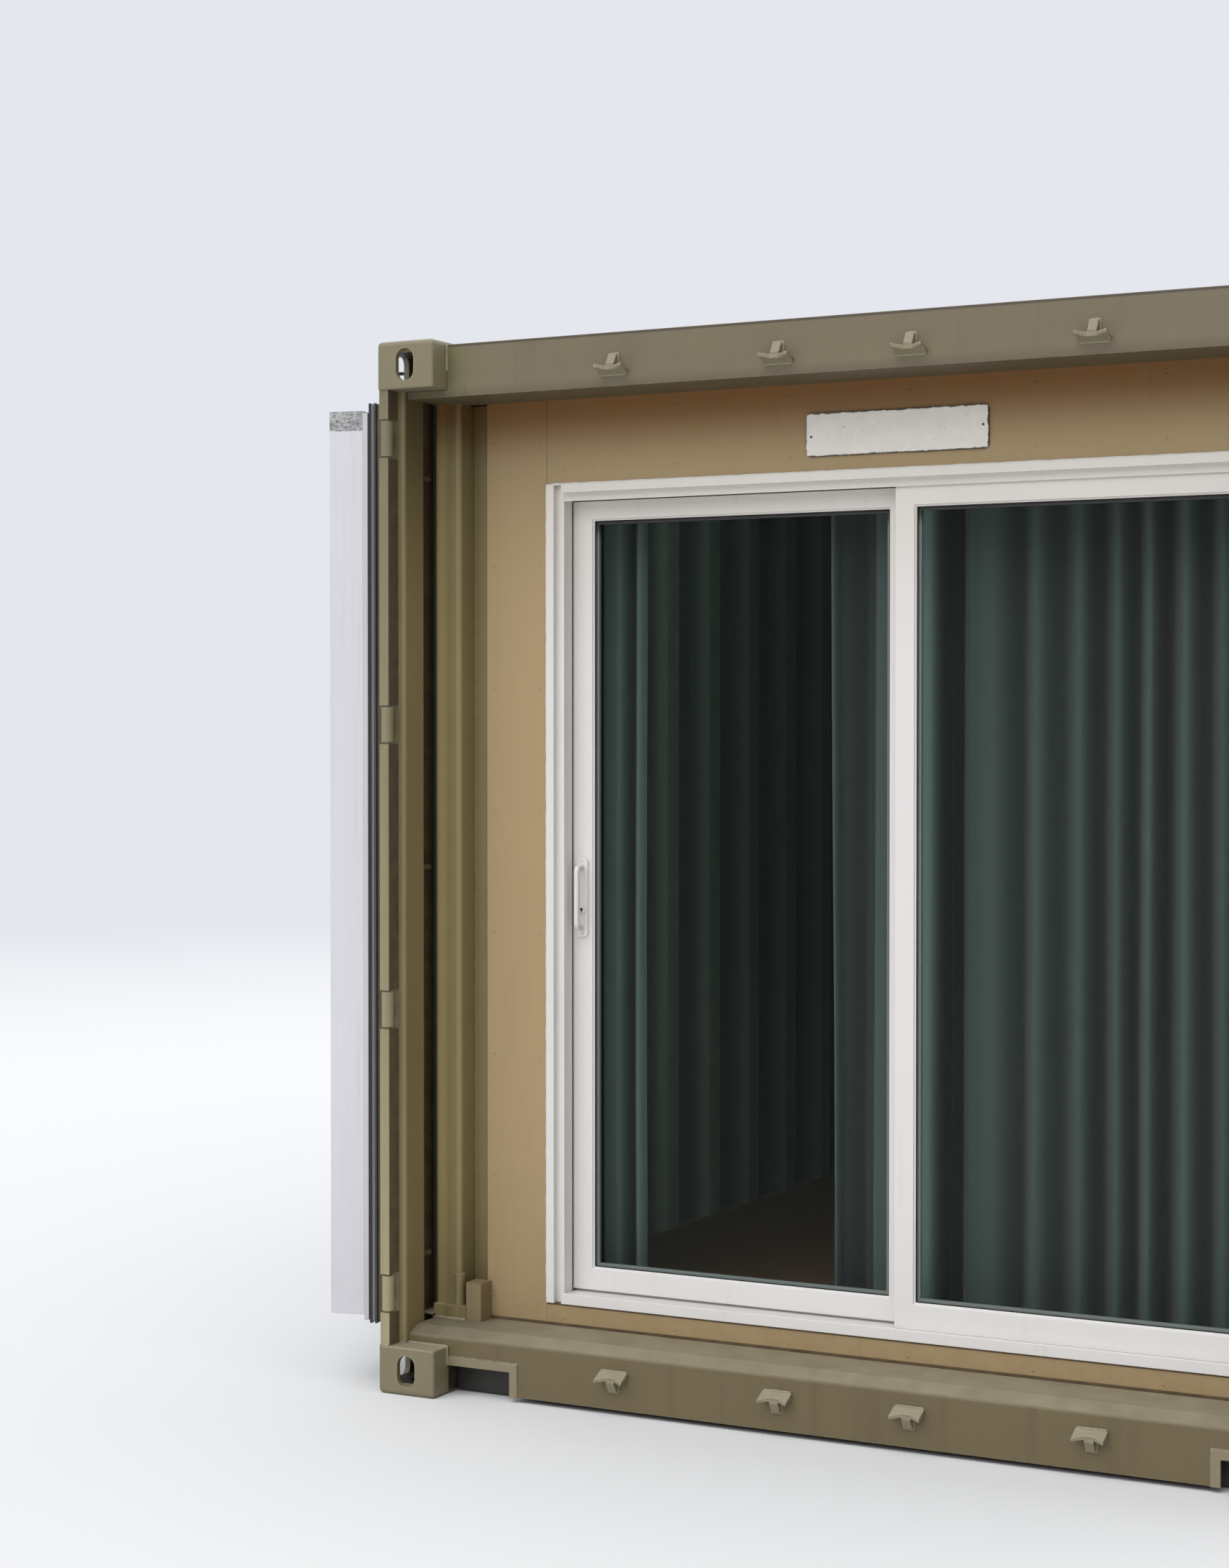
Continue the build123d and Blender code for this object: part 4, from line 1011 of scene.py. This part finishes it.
class CABIN_OT_steel(bpy.types.Operator):
    """Paint the container's steel and round its edges"""

    bl_idname = "cabin.steel"
    bl_label = "Steel"

    def execute(self, context):
        colours = context.scene.cabin_colours
        edge = context.scene.cabin_sizes.steel_edge
        for make_group in (
            steel_paint_group,
            board_paint_group,
            grime_group,
            header_shade_group,
            inward_group,
            moulded_group,
        ):
            make_group()
        dress(pair("door_post"), post_finish(colours), edge)
        dress(pair("jamb_tube"), tube_finish(colours), edge)
        dress(["door_sill"], sill_finish(colours), edge)
        dress(["door_header"], header_finish(colours), edge)
        frames = ["top_side_rails", "rear_posts", "rear_sill", "rear_header"]
        steel = steel_finish("Container Paint", colours, colours.steel)
        dress(pair("bottom_side_rail") + frames, steel, edge)
        dress(pair("cargo_leaf"), leaf_finish(colours), edge / 2)
        dress(pair("side_wall"), shell_finish("Side Wall Paint", colours, ACROSS))
        dress(["rear_wall"], shell_finish("Rear Wall Paint", colours, REARWARD))
        dress(["roof"], shell_finish("Roof Paint", colours, UP))
        castings = pair("front_corner_castings") + pair("rear_corner_castings")
        dress(castings, casting_finish(colours), edge)
        rough = {"streaks": 0.2, "wear": 0.9, "grain": 160.0, "bump": 0.5}
        fitting = steel_finish("Fitting Paint", colours, colours.fitting, **rough)
        dress(["cam_keepers"], fitting, edge)
        dress(["hinge_pins"] + pair("lock_bars"), fitting, edge / 2)
        coat = colours.underside
        relief = {"streaks": 0.1, "wear": 0.0, "grain": 90.0}
        under = finished("Underside Coating", "Steel Paint", 0.5, paint=coat, dust=coat, **relief)
        dress(["cross_members", "fork_pockets"], under)
        dress(["floor"], plywood_finish(colours))
        return {"FINISHED"}


class CABIN_OT_welds(bpy.types.Operator):
    """Lay the weld beads, close the gaps at the rear corners, and set dark plates behind the sill's
    cut-outs as painted shade
    """

    bl_idname = "cabin.welds"
    bl_label = "Welds"

    def execute(self, context):
        weld = context.scene.cabin_sizes.weld
        front = Shape()
        self.door_end(front, weld)
        self.keepers(front, weld * 0.8)
        front.piece("front_welds", bpy.data.materials["Fitting Paint"], "cabin", "fitting_paint")
        seams = {"radius": weld * 0.7, "pitch": 0.03, "rough": 0.15, "sides": 5}
        walls = Shape()
        for node in pair("side_wall"):
            for level_of in (min, max):
                walls.bead(wall_line(node, level_of), **seams)
        roof = Shape()
        self.roof_seams(roof, {**seams, "radius": weld * 0.9})
        corners = Shape()
        self.rear_corners(corners, seams)
        paint = bpy.data.materials["Container Paint"]
        made = {"side_wall_welds": walls, "roof_welds": roof, "rear_corner_strips": corners}
        for name, shape in made.items():
            shape.piece(name, paint, "cabin", "container_paint")
        self.cutout_shade_plates()
        return {"FINISHED"}

    def door_end(self, shape, weld):
        """Beads where the castings, posts, header, sill and tubes meet."""
        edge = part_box("front_corner_castings_left")[1].x
        header_low, header_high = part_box("door_header")
        sill_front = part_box("door_sill")[0].y
        post_low, post_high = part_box("door_post_left")
        tube_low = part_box("jamb_tube_left")[0]
        lip_right = post_low.x + LIP_WIDTH
        body_front = post_low.y + POST_SETBACK
        foot, soffit = post_low.z, post_high.z
        foot_right = tube_low.x + TUBE_FOOT
        runs = [
            [(edge, header_low.y, soffit), (edge, header_low.y, header_high.z)],
            [
                (edge, sill_front, CUTOUT_TOP),
                (edge, sill_front, foot),
                (post_high.x, sill_front, foot),
            ],
            [(lip_right + 0.01, tube_low.y, tube_low.z), (foot_right, tube_low.y, tube_low.z)],
        ]
        for level in (soffit, foot):
            runs.append([(post_low.x, post_low.y, level), (lip_right, post_low.y, level)])
            runs.append([(lip_right, body_front, level), (post_high.x, body_front, level)])
        for corners in runs:
            shape.beads(corners, weld, WELD_PITCH)
        flank = [(post_low.x, post_high.y, foot + 0.06), (post_low.x, post_high.y, soffit)]
        shape.beads(flank, weld * 0.8, 0.009)

    def keepers(self, shape, weld):
        """Beads round the foot and the stem of each cam keeper."""
        low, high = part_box("cam_keepers")
        for edge, away in ((low.z + 0.05, -1), (high.z - 0.05, 1)):
            for middle in KEEPERS:
                foot = ((-0.035, 0.001), (0.035, 0.001))
                stem = ((-0.012, 0.016), (-0.012, 0.05), (0.012, 0.05), (0.012, 0.016))
                for run in (foot, stem):
                    corners = [(middle + aside, high.y, edge + away * rise) for aside, rise in run]
                    shape.bead(corners, weld, WELD_PITCH)

    def roof_seams(self, shape, seams):
        """Weld that closes the roof's crests on the side rails and its rear edge on the header."""
        low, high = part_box("roof")
        rear_low, rear_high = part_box("rear_header")
        level = (rear_high.z + high.z) / 2 - 0.001
        points = [vertex.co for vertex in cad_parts["roof"].data.vertices]
        crests = sorted({round(point.y, 4) for point in points if point.z > high.z - 0.001})
        for start, end in zip(crests[::2], crests[1::2]):
            shape.beads([(low.x, start, level), (low.x, end, level)], **seams)
        shape.bead([(rear_low.x, high.y, level), (rear_high.x, high.y, level)], **seams)

    def rear_corners(self, shape, seams):
        """Strips that join the rear wall to the chamfered rear posts, with their welds."""
        wall_low, wall_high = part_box("rear_wall")
        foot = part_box("rear_posts")[0].z
        reach = wall_low.x - 0.0285
        back = wall_high.y - 0.0004
        for side in (-1, 1):
            start, end = sorted((side * reach, side * (wall_low.x + 0.0005)))
            shape.slab((start, back - 0.0018, foot), (end, back, wall_high.z))
        shape.beads([(reach, back, foot), (reach, back, wall_high.z)], **seams)

    def cutout_shade_plates(self):
        """Dark plates behind the cut-outs of the sill that stand in for the shade there: painted
        shade.
        """
        casting_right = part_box("front_corner_castings_left")[1].x
        sill_low, sill_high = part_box("door_sill")
        front, top = sill_low.y + 0.052, sill_high.z - 0.03
        near, far = casting_right + 0.002, casting_right + 0.196
        plates = Shape()
        for start, end in ((near, far), (-far, -near)):
            plates.slab((start, front, 0.004), (end, front + 0.003, top))
        coating = bpy.data.materials["Underside Coating"]
        plates.piece("cutout_shade_plates", coating, "cabin", "underframe_paint", smooth=False)


class CABIN_OT_wall(bpy.types.Operator):
    """Paint the boarded wall, and add its nails and caulk"""

    bl_idname = "cabin.wall"
    bl_label = "Boarded Wall"

    def execute(self, context):
        colours = context.scene.cabin_colours
        sizes = context.scene.cabin_sizes
        board = wall_finish("Wall Paint", colours)
        dress(["wall_left", "wall_right", "wall_head"], board, sizes.board_edge)
        dress(["wall_foot"], wall_finish("Wall Foot Paint", colours, foot=True), sizes.board_edge)
        marks = {"grain": 0.6, "soil": 0.5}
        block = board_finish("Block Paint", colours.block, bump=0.5, specular=0.3, **marks)
        dress(["stop_blocks"], block, sizes.board_edge)
        self.nails(sizes).piece("wall_nails", board, "cabin", "wall_paint")
        low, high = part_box("patio_frame_jambs")
        path = ((low.x, low.z), (low.x, high.z), (high.x, high.z), (high.x, low.z))
        corners = [(x, WALL_FACE, z) for x, z in path]
        caulk = Shape()
        for run in zip(corners, corners[1:]):
            caulk.bead(run, sizes.caulk, pitch=0.02, rough=0.25)
        marks = {"stain": 0.35, "gloss": 0.5}
        sealant = moulded_finish("Caulk", colours.vinyl, bump=0.2, specular=0.4, **marks)
        caulk.piece("frame_caulk", sealant, "cabin", "white_vinyl")
        return {"FINISHED"}

    def nails(self, sizes):
        """Nail heads in columns beside the patio door and in rows above and below it."""
        left_low, left_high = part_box("wall_left")
        head_low, head_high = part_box("wall_head")
        right_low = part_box("wall_right")[0]
        places = []
        for across in (LEFT + 0.191, left_high.x - 0.018, right_low.x + 0.018):
            level = left_low.z + 0.06
            while level < HEADER_LOW - 0.02:
                places.append((across, level))
                level += sizes.nail_pitch
        across = head_low.x + 0.05
        while across < head_high.x:
            for level in (head_low.z + 0.035, HEADER_LOW - 0.03, left_low.z + 0.02):
                places.append((across, level))
            across += sizes.nail_pitch
        shape = Shape()
        for across, level in places:
            shape.dome(Vector((across, WALL_FACE, level)), sizes.nail, 0.0011)
        return shape


class CABIN_OT_patio_door(bpy.types.Operator):
    """Finish the sliding patio door with its seals, spacers and screws"""

    bl_idname = "cabin.patio_door"
    bl_label = "Patio Door"

    def execute(self, context):
        colours = context.scene.cabin_colours
        edge = context.scene.cabin_sizes.vinyl_edge
        vinyl = vinyl_finish(colours)
        frames = [f"patio_frame_{part}" for part in ("jambs", "head", "sill")]
        dress(frames + ["fixed_panel_frame", "sash_frame"], vinyl, edge)
        dress(["sash_handles"], vinyl, edge / 2)
        dress(["fixed_panel_glass", "sash_glass"], glass_finish(colours))
        marks = {"stain": 0.1, "gloss": 0.55}
        rubber = moulded_finish("Black Rubber", colours.rubber, bump=0.3, specular=0.3, **marks)
        metal = spacer_finish(colours)
        for panel, body in (("fixed_panel", "cabin"), ("sash", "sliding_sash")):
            self.glazing(panel, body, rubber, metal)
        self.brush_seal(rubber)
        self.lock(rubber, vinyl)
        return {"FINISHED"}

    def glazing(self, panel, body, rubber, metal):
        """Seals at both faces of the glass and the spacer between its panes."""
        low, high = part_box(f"{panel}_glass")
        seals = Shape()
        for front, back in ((low.y - 0.0012, low.y), (high.y, high.y + 0.0012)):
            seals.rim((low.x, front, low.z), (high.x, back, high.z), 0.0025)
        seals.piece(f"{panel}_seals", rubber, body, "door_rubber", 0.0004)
        spacer = Shape()
        middle = (low.y + high.y) / 2
        spacer.rim((low.x, middle - 0.005, low.z), (high.x, middle + 0.005, high.z), 0.009)
        spacer.piece(f"{panel}_spacer", metal, body, "rod_metal", 0.0005)

    def brush_seal(self, rubber):
        """Brush seal of the meeting stiles."""
        low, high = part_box("fixed_panel_frame")
        brush = Shape()
        start = (low.x + 0.004, high.y, low.z + 0.02)
        brush.slab(start, (low.x + 0.010, high.y + 0.0046, high.z - 0.02))
        brush.piece("meeting_brush_seal", rubber, "cabin", "door_rubber", 0.0008)

    def lock(self, rubber, vinyl):
        """Keyhole of the cylinder and the screws of the handle plates."""
        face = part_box("sash_frame")[0].y
        handle_low, handle_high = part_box("sash_handles")
        across = (handle_low.x + handle_high.x) / 2
        level = (handle_low.z + handle_high.z) / 2
        cylinder = Vector((across, face - 0.011, level - 0.03))
        x, y, z = cylinder
        key = Shape()
        key.knob(cylinder, ((0.0, 0.0038), (0.0006, 0.0038)), sides=16)
        key.slab((x - 0.0011, y - 0.0008, z - 0.0085), (x + 0.0011, y, z + 0.002))
        key.piece("keyhole", rubber, "sliding_sash", "door_rubber", smooth=False)
        screws = Shape()
        for rise in (-0.091, 0.091):
            screws.dome(Vector((across, face - 0.007, level + rise)), 0.0042, 0.0018)
        screws.piece("handle_screws", vinyl, "sliding_sash", "white_vinyl")


class CABIN_OT_curtains(bpy.types.Operator):
    """Hang the gathered curtains on their rod"""

    bl_idname = "cabin.curtains"
    bl_label = "Curtains"

    def execute(self, context):
        colours = context.scene.cabin_colours
        sizes = context.scene.cabin_sizes
        cloth = cloth_finish(colours)
        metal = moulded_finish("Rod Paint", colours.rod, stain=0.2, gloss=0.4, bump=0.2)
        dress(["curtain_rod"], metal, 0.001)
        right_folds = RIGHT_FOLDS + self.hidden_folds(sizes.pleat)
        self.hang("left", sizes.cloth_left, LEFT_FOLDS, cloth, metal)
        self.hang("right", sizes.cloth_right, right_folds, cloth, metal)
        return {"FINISHED"}

    def hidden_folds(self, pleat):
        """Chance folds of the right curtain, from the last one that shows to its end."""
        chooser = random.Random(23)
        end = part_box("curtain_right")[1].x - LEFT
        across, wave = RIGHT_FOLDS[-1]
        folds = []
        while across < end - 1.4 * pleat:
            across += pleat * chooser.uniform(0.75, 1.25)
            wave = chooser.uniform(0.05, 0.3) if wave < 0 else chooser.uniform(-1.0, -0.6)
            folds.append((across, wave))
        return (*folds, (end, 0.0))

    def hang(self, side, flat_width, folds, cloth, metal):
        """One gathered sheet with the rings that it hangs from."""
        low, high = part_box(f"curtain_{side}")
        middle = (low.y + high.y) / 2
        top = high.z - 0.004
        rows = 40
        columns = round((high.x - low.x) / 0.0042)
        points = []
        for row in range(rows + 1):
            share = row / rows
            level = top + (low.z + 0.004 - top) * share
            line = self.fold_line(folds, low.x, high.x, columns, share)
            depth = self.depth_for(line, flat_width, (high.y - low.y) * 0.49)
            points += [(x, middle - depth * wave, level) for x, wave in line]
        across = columns + 1
        faces = []
        for row in range(rows):
            for first in range(row * across, row * across + columns):
                faces.append((first, first + 1, first + across + 1, first + across))
        shape = Shape()
        shape.add(points, faces)
        sheet = shape.piece(f"curtain_cloth_{side}", cloth, "cabin", "curtain_cloth")
        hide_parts(f"curtain_{side}")
        rings = self.rings(folds, middle)
        hung = rings.piece(f"curtain_rings_{side}", metal, "cabin", "rod_metal")

    def rings(self, folds, middle):
        """Rings on the rod, one wherever the cloth turns towards the glass."""
        rod_low, rod_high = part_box("curtain_rod")
        level = (rod_low.z + rod_high.z) / 2
        shape = Shape()
        for (x0, wave0), (x1, wave1) in zip(folds, folds[1:]):
            if wave0 < 0 < wave1:
                centre = Vector((LEFT + (x0 + x1) / 2, middle, level))
                path = circle(centre, Vector(REARWARD), Vector(UP), RING_RADIUS, 24)
                path.append(path[0])
                shape.tube(path, [RING_WIRE] * len(path), sides=6)
        return shape

    def fold_line(self, folds, start, end, columns, share):
        """Places and waves of the cloth at one level, which sways a little lower down."""
        line = []
        fold = 0
        for column in range(columns + 1):
            x = start + (end - start) * column / columns
            while fold < len(folds) - 2 and x - LEFT > folds[fold + 1][0]:
                fold += 1
            (x0, wave0), (x1, wave1) = folds[fold], folds[fold + 1]
            inside = min(max((x - LEFT - x0) / (x1 - x0), 0.0), 1.0)
            wave = wave0 + (wave1 - wave0) * (1 - math.cos(math.pi * inside)) / 2
            wave *= 0.86 + 0.14 * min(1.0, share * 4)
            sway = noise.noise(Vector((x * 6.0, share * 1.4, 3.0))) * 0.008 * share
            lean = 0.014 * share * max(0.0, 1 - (x - start) / 0.06)
            line.append((min(max(x + sway + lean, start), end), wave))
        return line

    def depth_for(self, line, flat_width, limit):
        """Depth of the folds at which the cloth has its flat width, as far as there is room."""
        low, high = 0.0, limit / max(abs(wave) for _, wave in line)
        for _ in range(14):
            depth = (low + high) / 2
            length = 0.0
            for (x0, wave0), (x1, wave1) in zip(line, line[1:]):
                length += math.hypot(x1 - x0, (wave1 - wave0) * depth)
            if length < flat_width:
                low = depth
            else:
                high = depth
        return (low + high) / 2


class CABIN_OT_leaves(bpy.types.Operator):
    """Finish the linings, timbers and gaskets of the cargo doors"""

    bl_idname = "cabin.leaves"
    bl_label = "Cargo Leaves"

    def execute(self, context):
        colours = context.scene.cabin_colours
        edge = context.scene.cabin_sizes.board_edge
        marks = {"grain": 0.2, "soil": 0.3}
        lining = board_finish("White Board", colours.lining, bump=0.2, specular=0.4, **marks)
        dress(pair("leaf_lining"), lining, edge)
        dress(pair("leaf_studs") + pair("leaf_rails"), timber_finish(colours), edge)
        dress(pair("door_gasket"), gasket_finish(colours), 0.003)
        return {"FINISHED"}


class CABIN_OT_sign(bpy.types.Operator):
    """Nail the bare sign plate above the patio door"""

    bl_idname = "cabin.sign"
    bl_label = "Sign Plate"

    def execute(self, context):
        colours = context.scene.cabin_colours
        sizes = context.scene.cabin_sizes
        half_width = sizes.sign_width / 2
        half_height = sizes.sign_height / 2
        across = LEFT + sizes.sign_inset + half_width
        middle = Vector((across, WALL_FACE, sizes.sign_low + half_height))
        outline = self.outline(half_width, half_height, 0.012)
        rings = []
        for forward, inset in ((0.0, 0.0), (0.0045, 0.0), (0.006, 0.0018)):
            centre = middle + Vector(FORWARD) * forward
            ring = []
            for point in outline:
                ragged = noise.noise(point * 45 + Vector((7.0, 0.0, 0.0))) * 0.0016
                ring.append(centre + point - point.normalized() * (inset - ragged))
            rings.append(ring)
        plate = Shape()
        plate.skin(rings)
        paint = sign_finish(colours, middle, half_width, half_height)
        plate.piece("sign_plate", paint, "cabin", "white_board", smooth=False)
        nails = Shape()
        for side in (-1, 1):
            head = middle + Vector((side * (half_width - 0.014), -0.006, side * 0.004))
            nails.dome(head, 0.0032, 0.0014)
        nails.piece("sign_nails", bpy.data.materials["Rod Paint"], "cabin", "rod_metal")
        return {"FINISHED"}

    def outline(self, half_width, half_height, radius):
        """Points round the plate, whose corners are rounded."""
        corners = []
        for side, rise, first in ((1, 1, 0), (-1, 1, 90), (-1, -1, 180), (1, -1, 270)):
            for step in range(5):
                angle = math.radians(first + step * 22.5)
                x = side * (half_width - radius) + radius * math.cos(angle)
                z = rise * (half_height - radius) + radius * math.sin(angle)
                corners.append(Vector((x, 0.0, z)))
        return spaced(corners + corners[:1], 0.008)[:-1]


class CABIN_OT_stage(bpy.types.Operator):
    """Set the camera, the soft light and the plain floor"""

    bl_idname = "cabin.stage"
    bl_label = "Stage"

    def execute(self, context):
        stage = context.scene.cabin_stage
        context.scene.view_settings.view_transform = "Standard"
        self.camera(context, stage)
        self.world(context, stage)
        self.floor(context, stage)
        suns = (
            ("key", stage.key_light, (0.12, 0.8, -0.75), 60.0),
            ("top", stage.top_light, (0.05, 0.1, -1.0), 80.0),
            ("back", stage.back_light, (-0.6, -0.7, -0.6), 70.0),
        )
        for name, strength, heading, spread in suns:
            lamp = bpy.data.lights.new(name, "SUN")
            lamp.energy = strength
            lamp.angle = math.radians(spread)
            made = bpy.data.objects.new(name, lamp)
            made.rotation_euler = Vector(heading).to_track_quat("-Z", "Y").to_euler()
            context.scene.collection.objects.link(made)
        return {"FINISHED"}

    def camera(self, context, stage):
        """Camera where the photographer stood."""
        lens = bpy.data.cameras.new("camera")
        lens.lens = stage.lens
        made = bpy.data.objects.new("camera", lens)
        made.location = stage.camera
        made.rotation_euler = (math.radians(90) - stage.tilt, 0.0, stage.turn)
        context.scene.collection.objects.link(made)
        context.scene.camera = made

    def shown_mask(self, graph):
        """Mask of the rays that show the background itself."""
        paths = graph.add("ShaderNodeLightPath").outputs
        seen = graph.math("MAXIMUM", paths["Is Camera Ray"], paths["Is Glossy Ray"])
        return graph.math("MAXIMUM", seen, paths["Is Transmission Ray"])

    def world(self, context, stage):
        """Even sky that is a little brighter above, behind a plain backdrop."""
        world = bpy.data.worlds.new("sky")
        context.scene.world = world
        world.use_nodes = True
        graph = Graph(world.node_tree)
        rise = graph.along(graph.coordinates("Generated"), UP)
        sky = graph.mix(graph.step(rise, -0.2, 0.9), (0.62, 0.62, 0.62), (1.25, 1.3, 1.38))
        light = graph.shade(sky, stage.sky_light)
        shown = graph.mix(self.shown_mask(graph), light, stage.backdrop)
        graph.close(world.node_tree.nodes["Background"], color=shown)

    def floor(self, context, stage):
        """Pale floor that fades into the backdrop far from the cabin."""
        material, graph, shader = new_material("Floor")
        reach = graph.vector("LENGTH", graph.coordinates()).outputs["Value"]
        far = graph.times(graph.step(reach, 5.0, 17.0), self.shown_mask(graph))
        graph.close(shader, base_color=stage.ground, roughness=0.9)
        shader.inputs["Specular IOR Level"].default_value = 0.1
        glow = graph.add("ShaderNodeEmission", {"Color": stage.backdrop})
        inputs = {"Fac": far, 1: shader.outputs[0], 2: glow.outputs[0]}
        blend = graph.add("ShaderNodeMixShader", inputs)
        graph.close(material.node_tree.nodes["Material Output"], surface=blend.outputs[0])
        mesh = bpy.data.meshes.new("floor")
        half = 90.0
        corners = [(-half, -half, 0.0), (half, -half, 0.0), (half, half, 0.0), (-half, half, 0.0)]
        mesh.from_pydata(corners, [], [(0, 1, 2, 3)])
        mesh.materials.append(material)
        made = bpy.data.objects.new("stage_floor", mesh)
        context.scene.collection.objects.link(made)


class CABIN_PT_panel(bpy.types.Panel):
    """Cabin pieces in the sidebar"""

    bl_idname = "CABIN_PT_panel"
    bl_label = "Container Cabin"
    bl_space_type = "VIEW_3D"
    bl_region_type = "UI"
    bl_category = "Cabin"

    def draw(self, context):
        for operator in OPERATORS:
            self.layout.operator(operator.bl_idname)
        for settings in SETTINGS:
            group = getattr(context.scene, settings)
            for key in group.bl_rna.properties.keys():
                if key not in ("rna_type", "name"):
                    self.layout.prop(group, key)


OPERATORS = (
    CABIN_OT_steel,
    CABIN_OT_welds,
    CABIN_OT_wall,
    CABIN_OT_patio_door,
    CABIN_OT_curtains,
    CABIN_OT_leaves,
    CABIN_OT_sign,
    CABIN_OT_stage,
)
SETTINGS = {"cabin_colours": CabinColours, "cabin_sizes": CabinSizes, "cabin_stage": CabinStage}
CLASSES = (*SETTINGS.values(), *OPERATORS, CABIN_PT_panel)


def register():
    """Register the classes and the scene's settings."""
    for cls in CLASSES:
        bpy.utils.register_class(cls)
    for key, cls in SETTINGS.items():
        setattr(bpy.types.Scene, key, PointerProperty(type=cls))


def unregister():
    """Undo register."""
    for key in SETTINGS:
        delattr(bpy.types.Scene, key)
    for cls in reversed(CLASSES):
        bpy.utils.unregister_class(cls)


def main():
    """Make the pieces in order."""
    register()
    for operator in OPERATORS:
        family, name = operator.bl_idname.split(".")
        getattr(getattr(bpy.ops, family), name)()


if __name__ == "__main__":
    main()
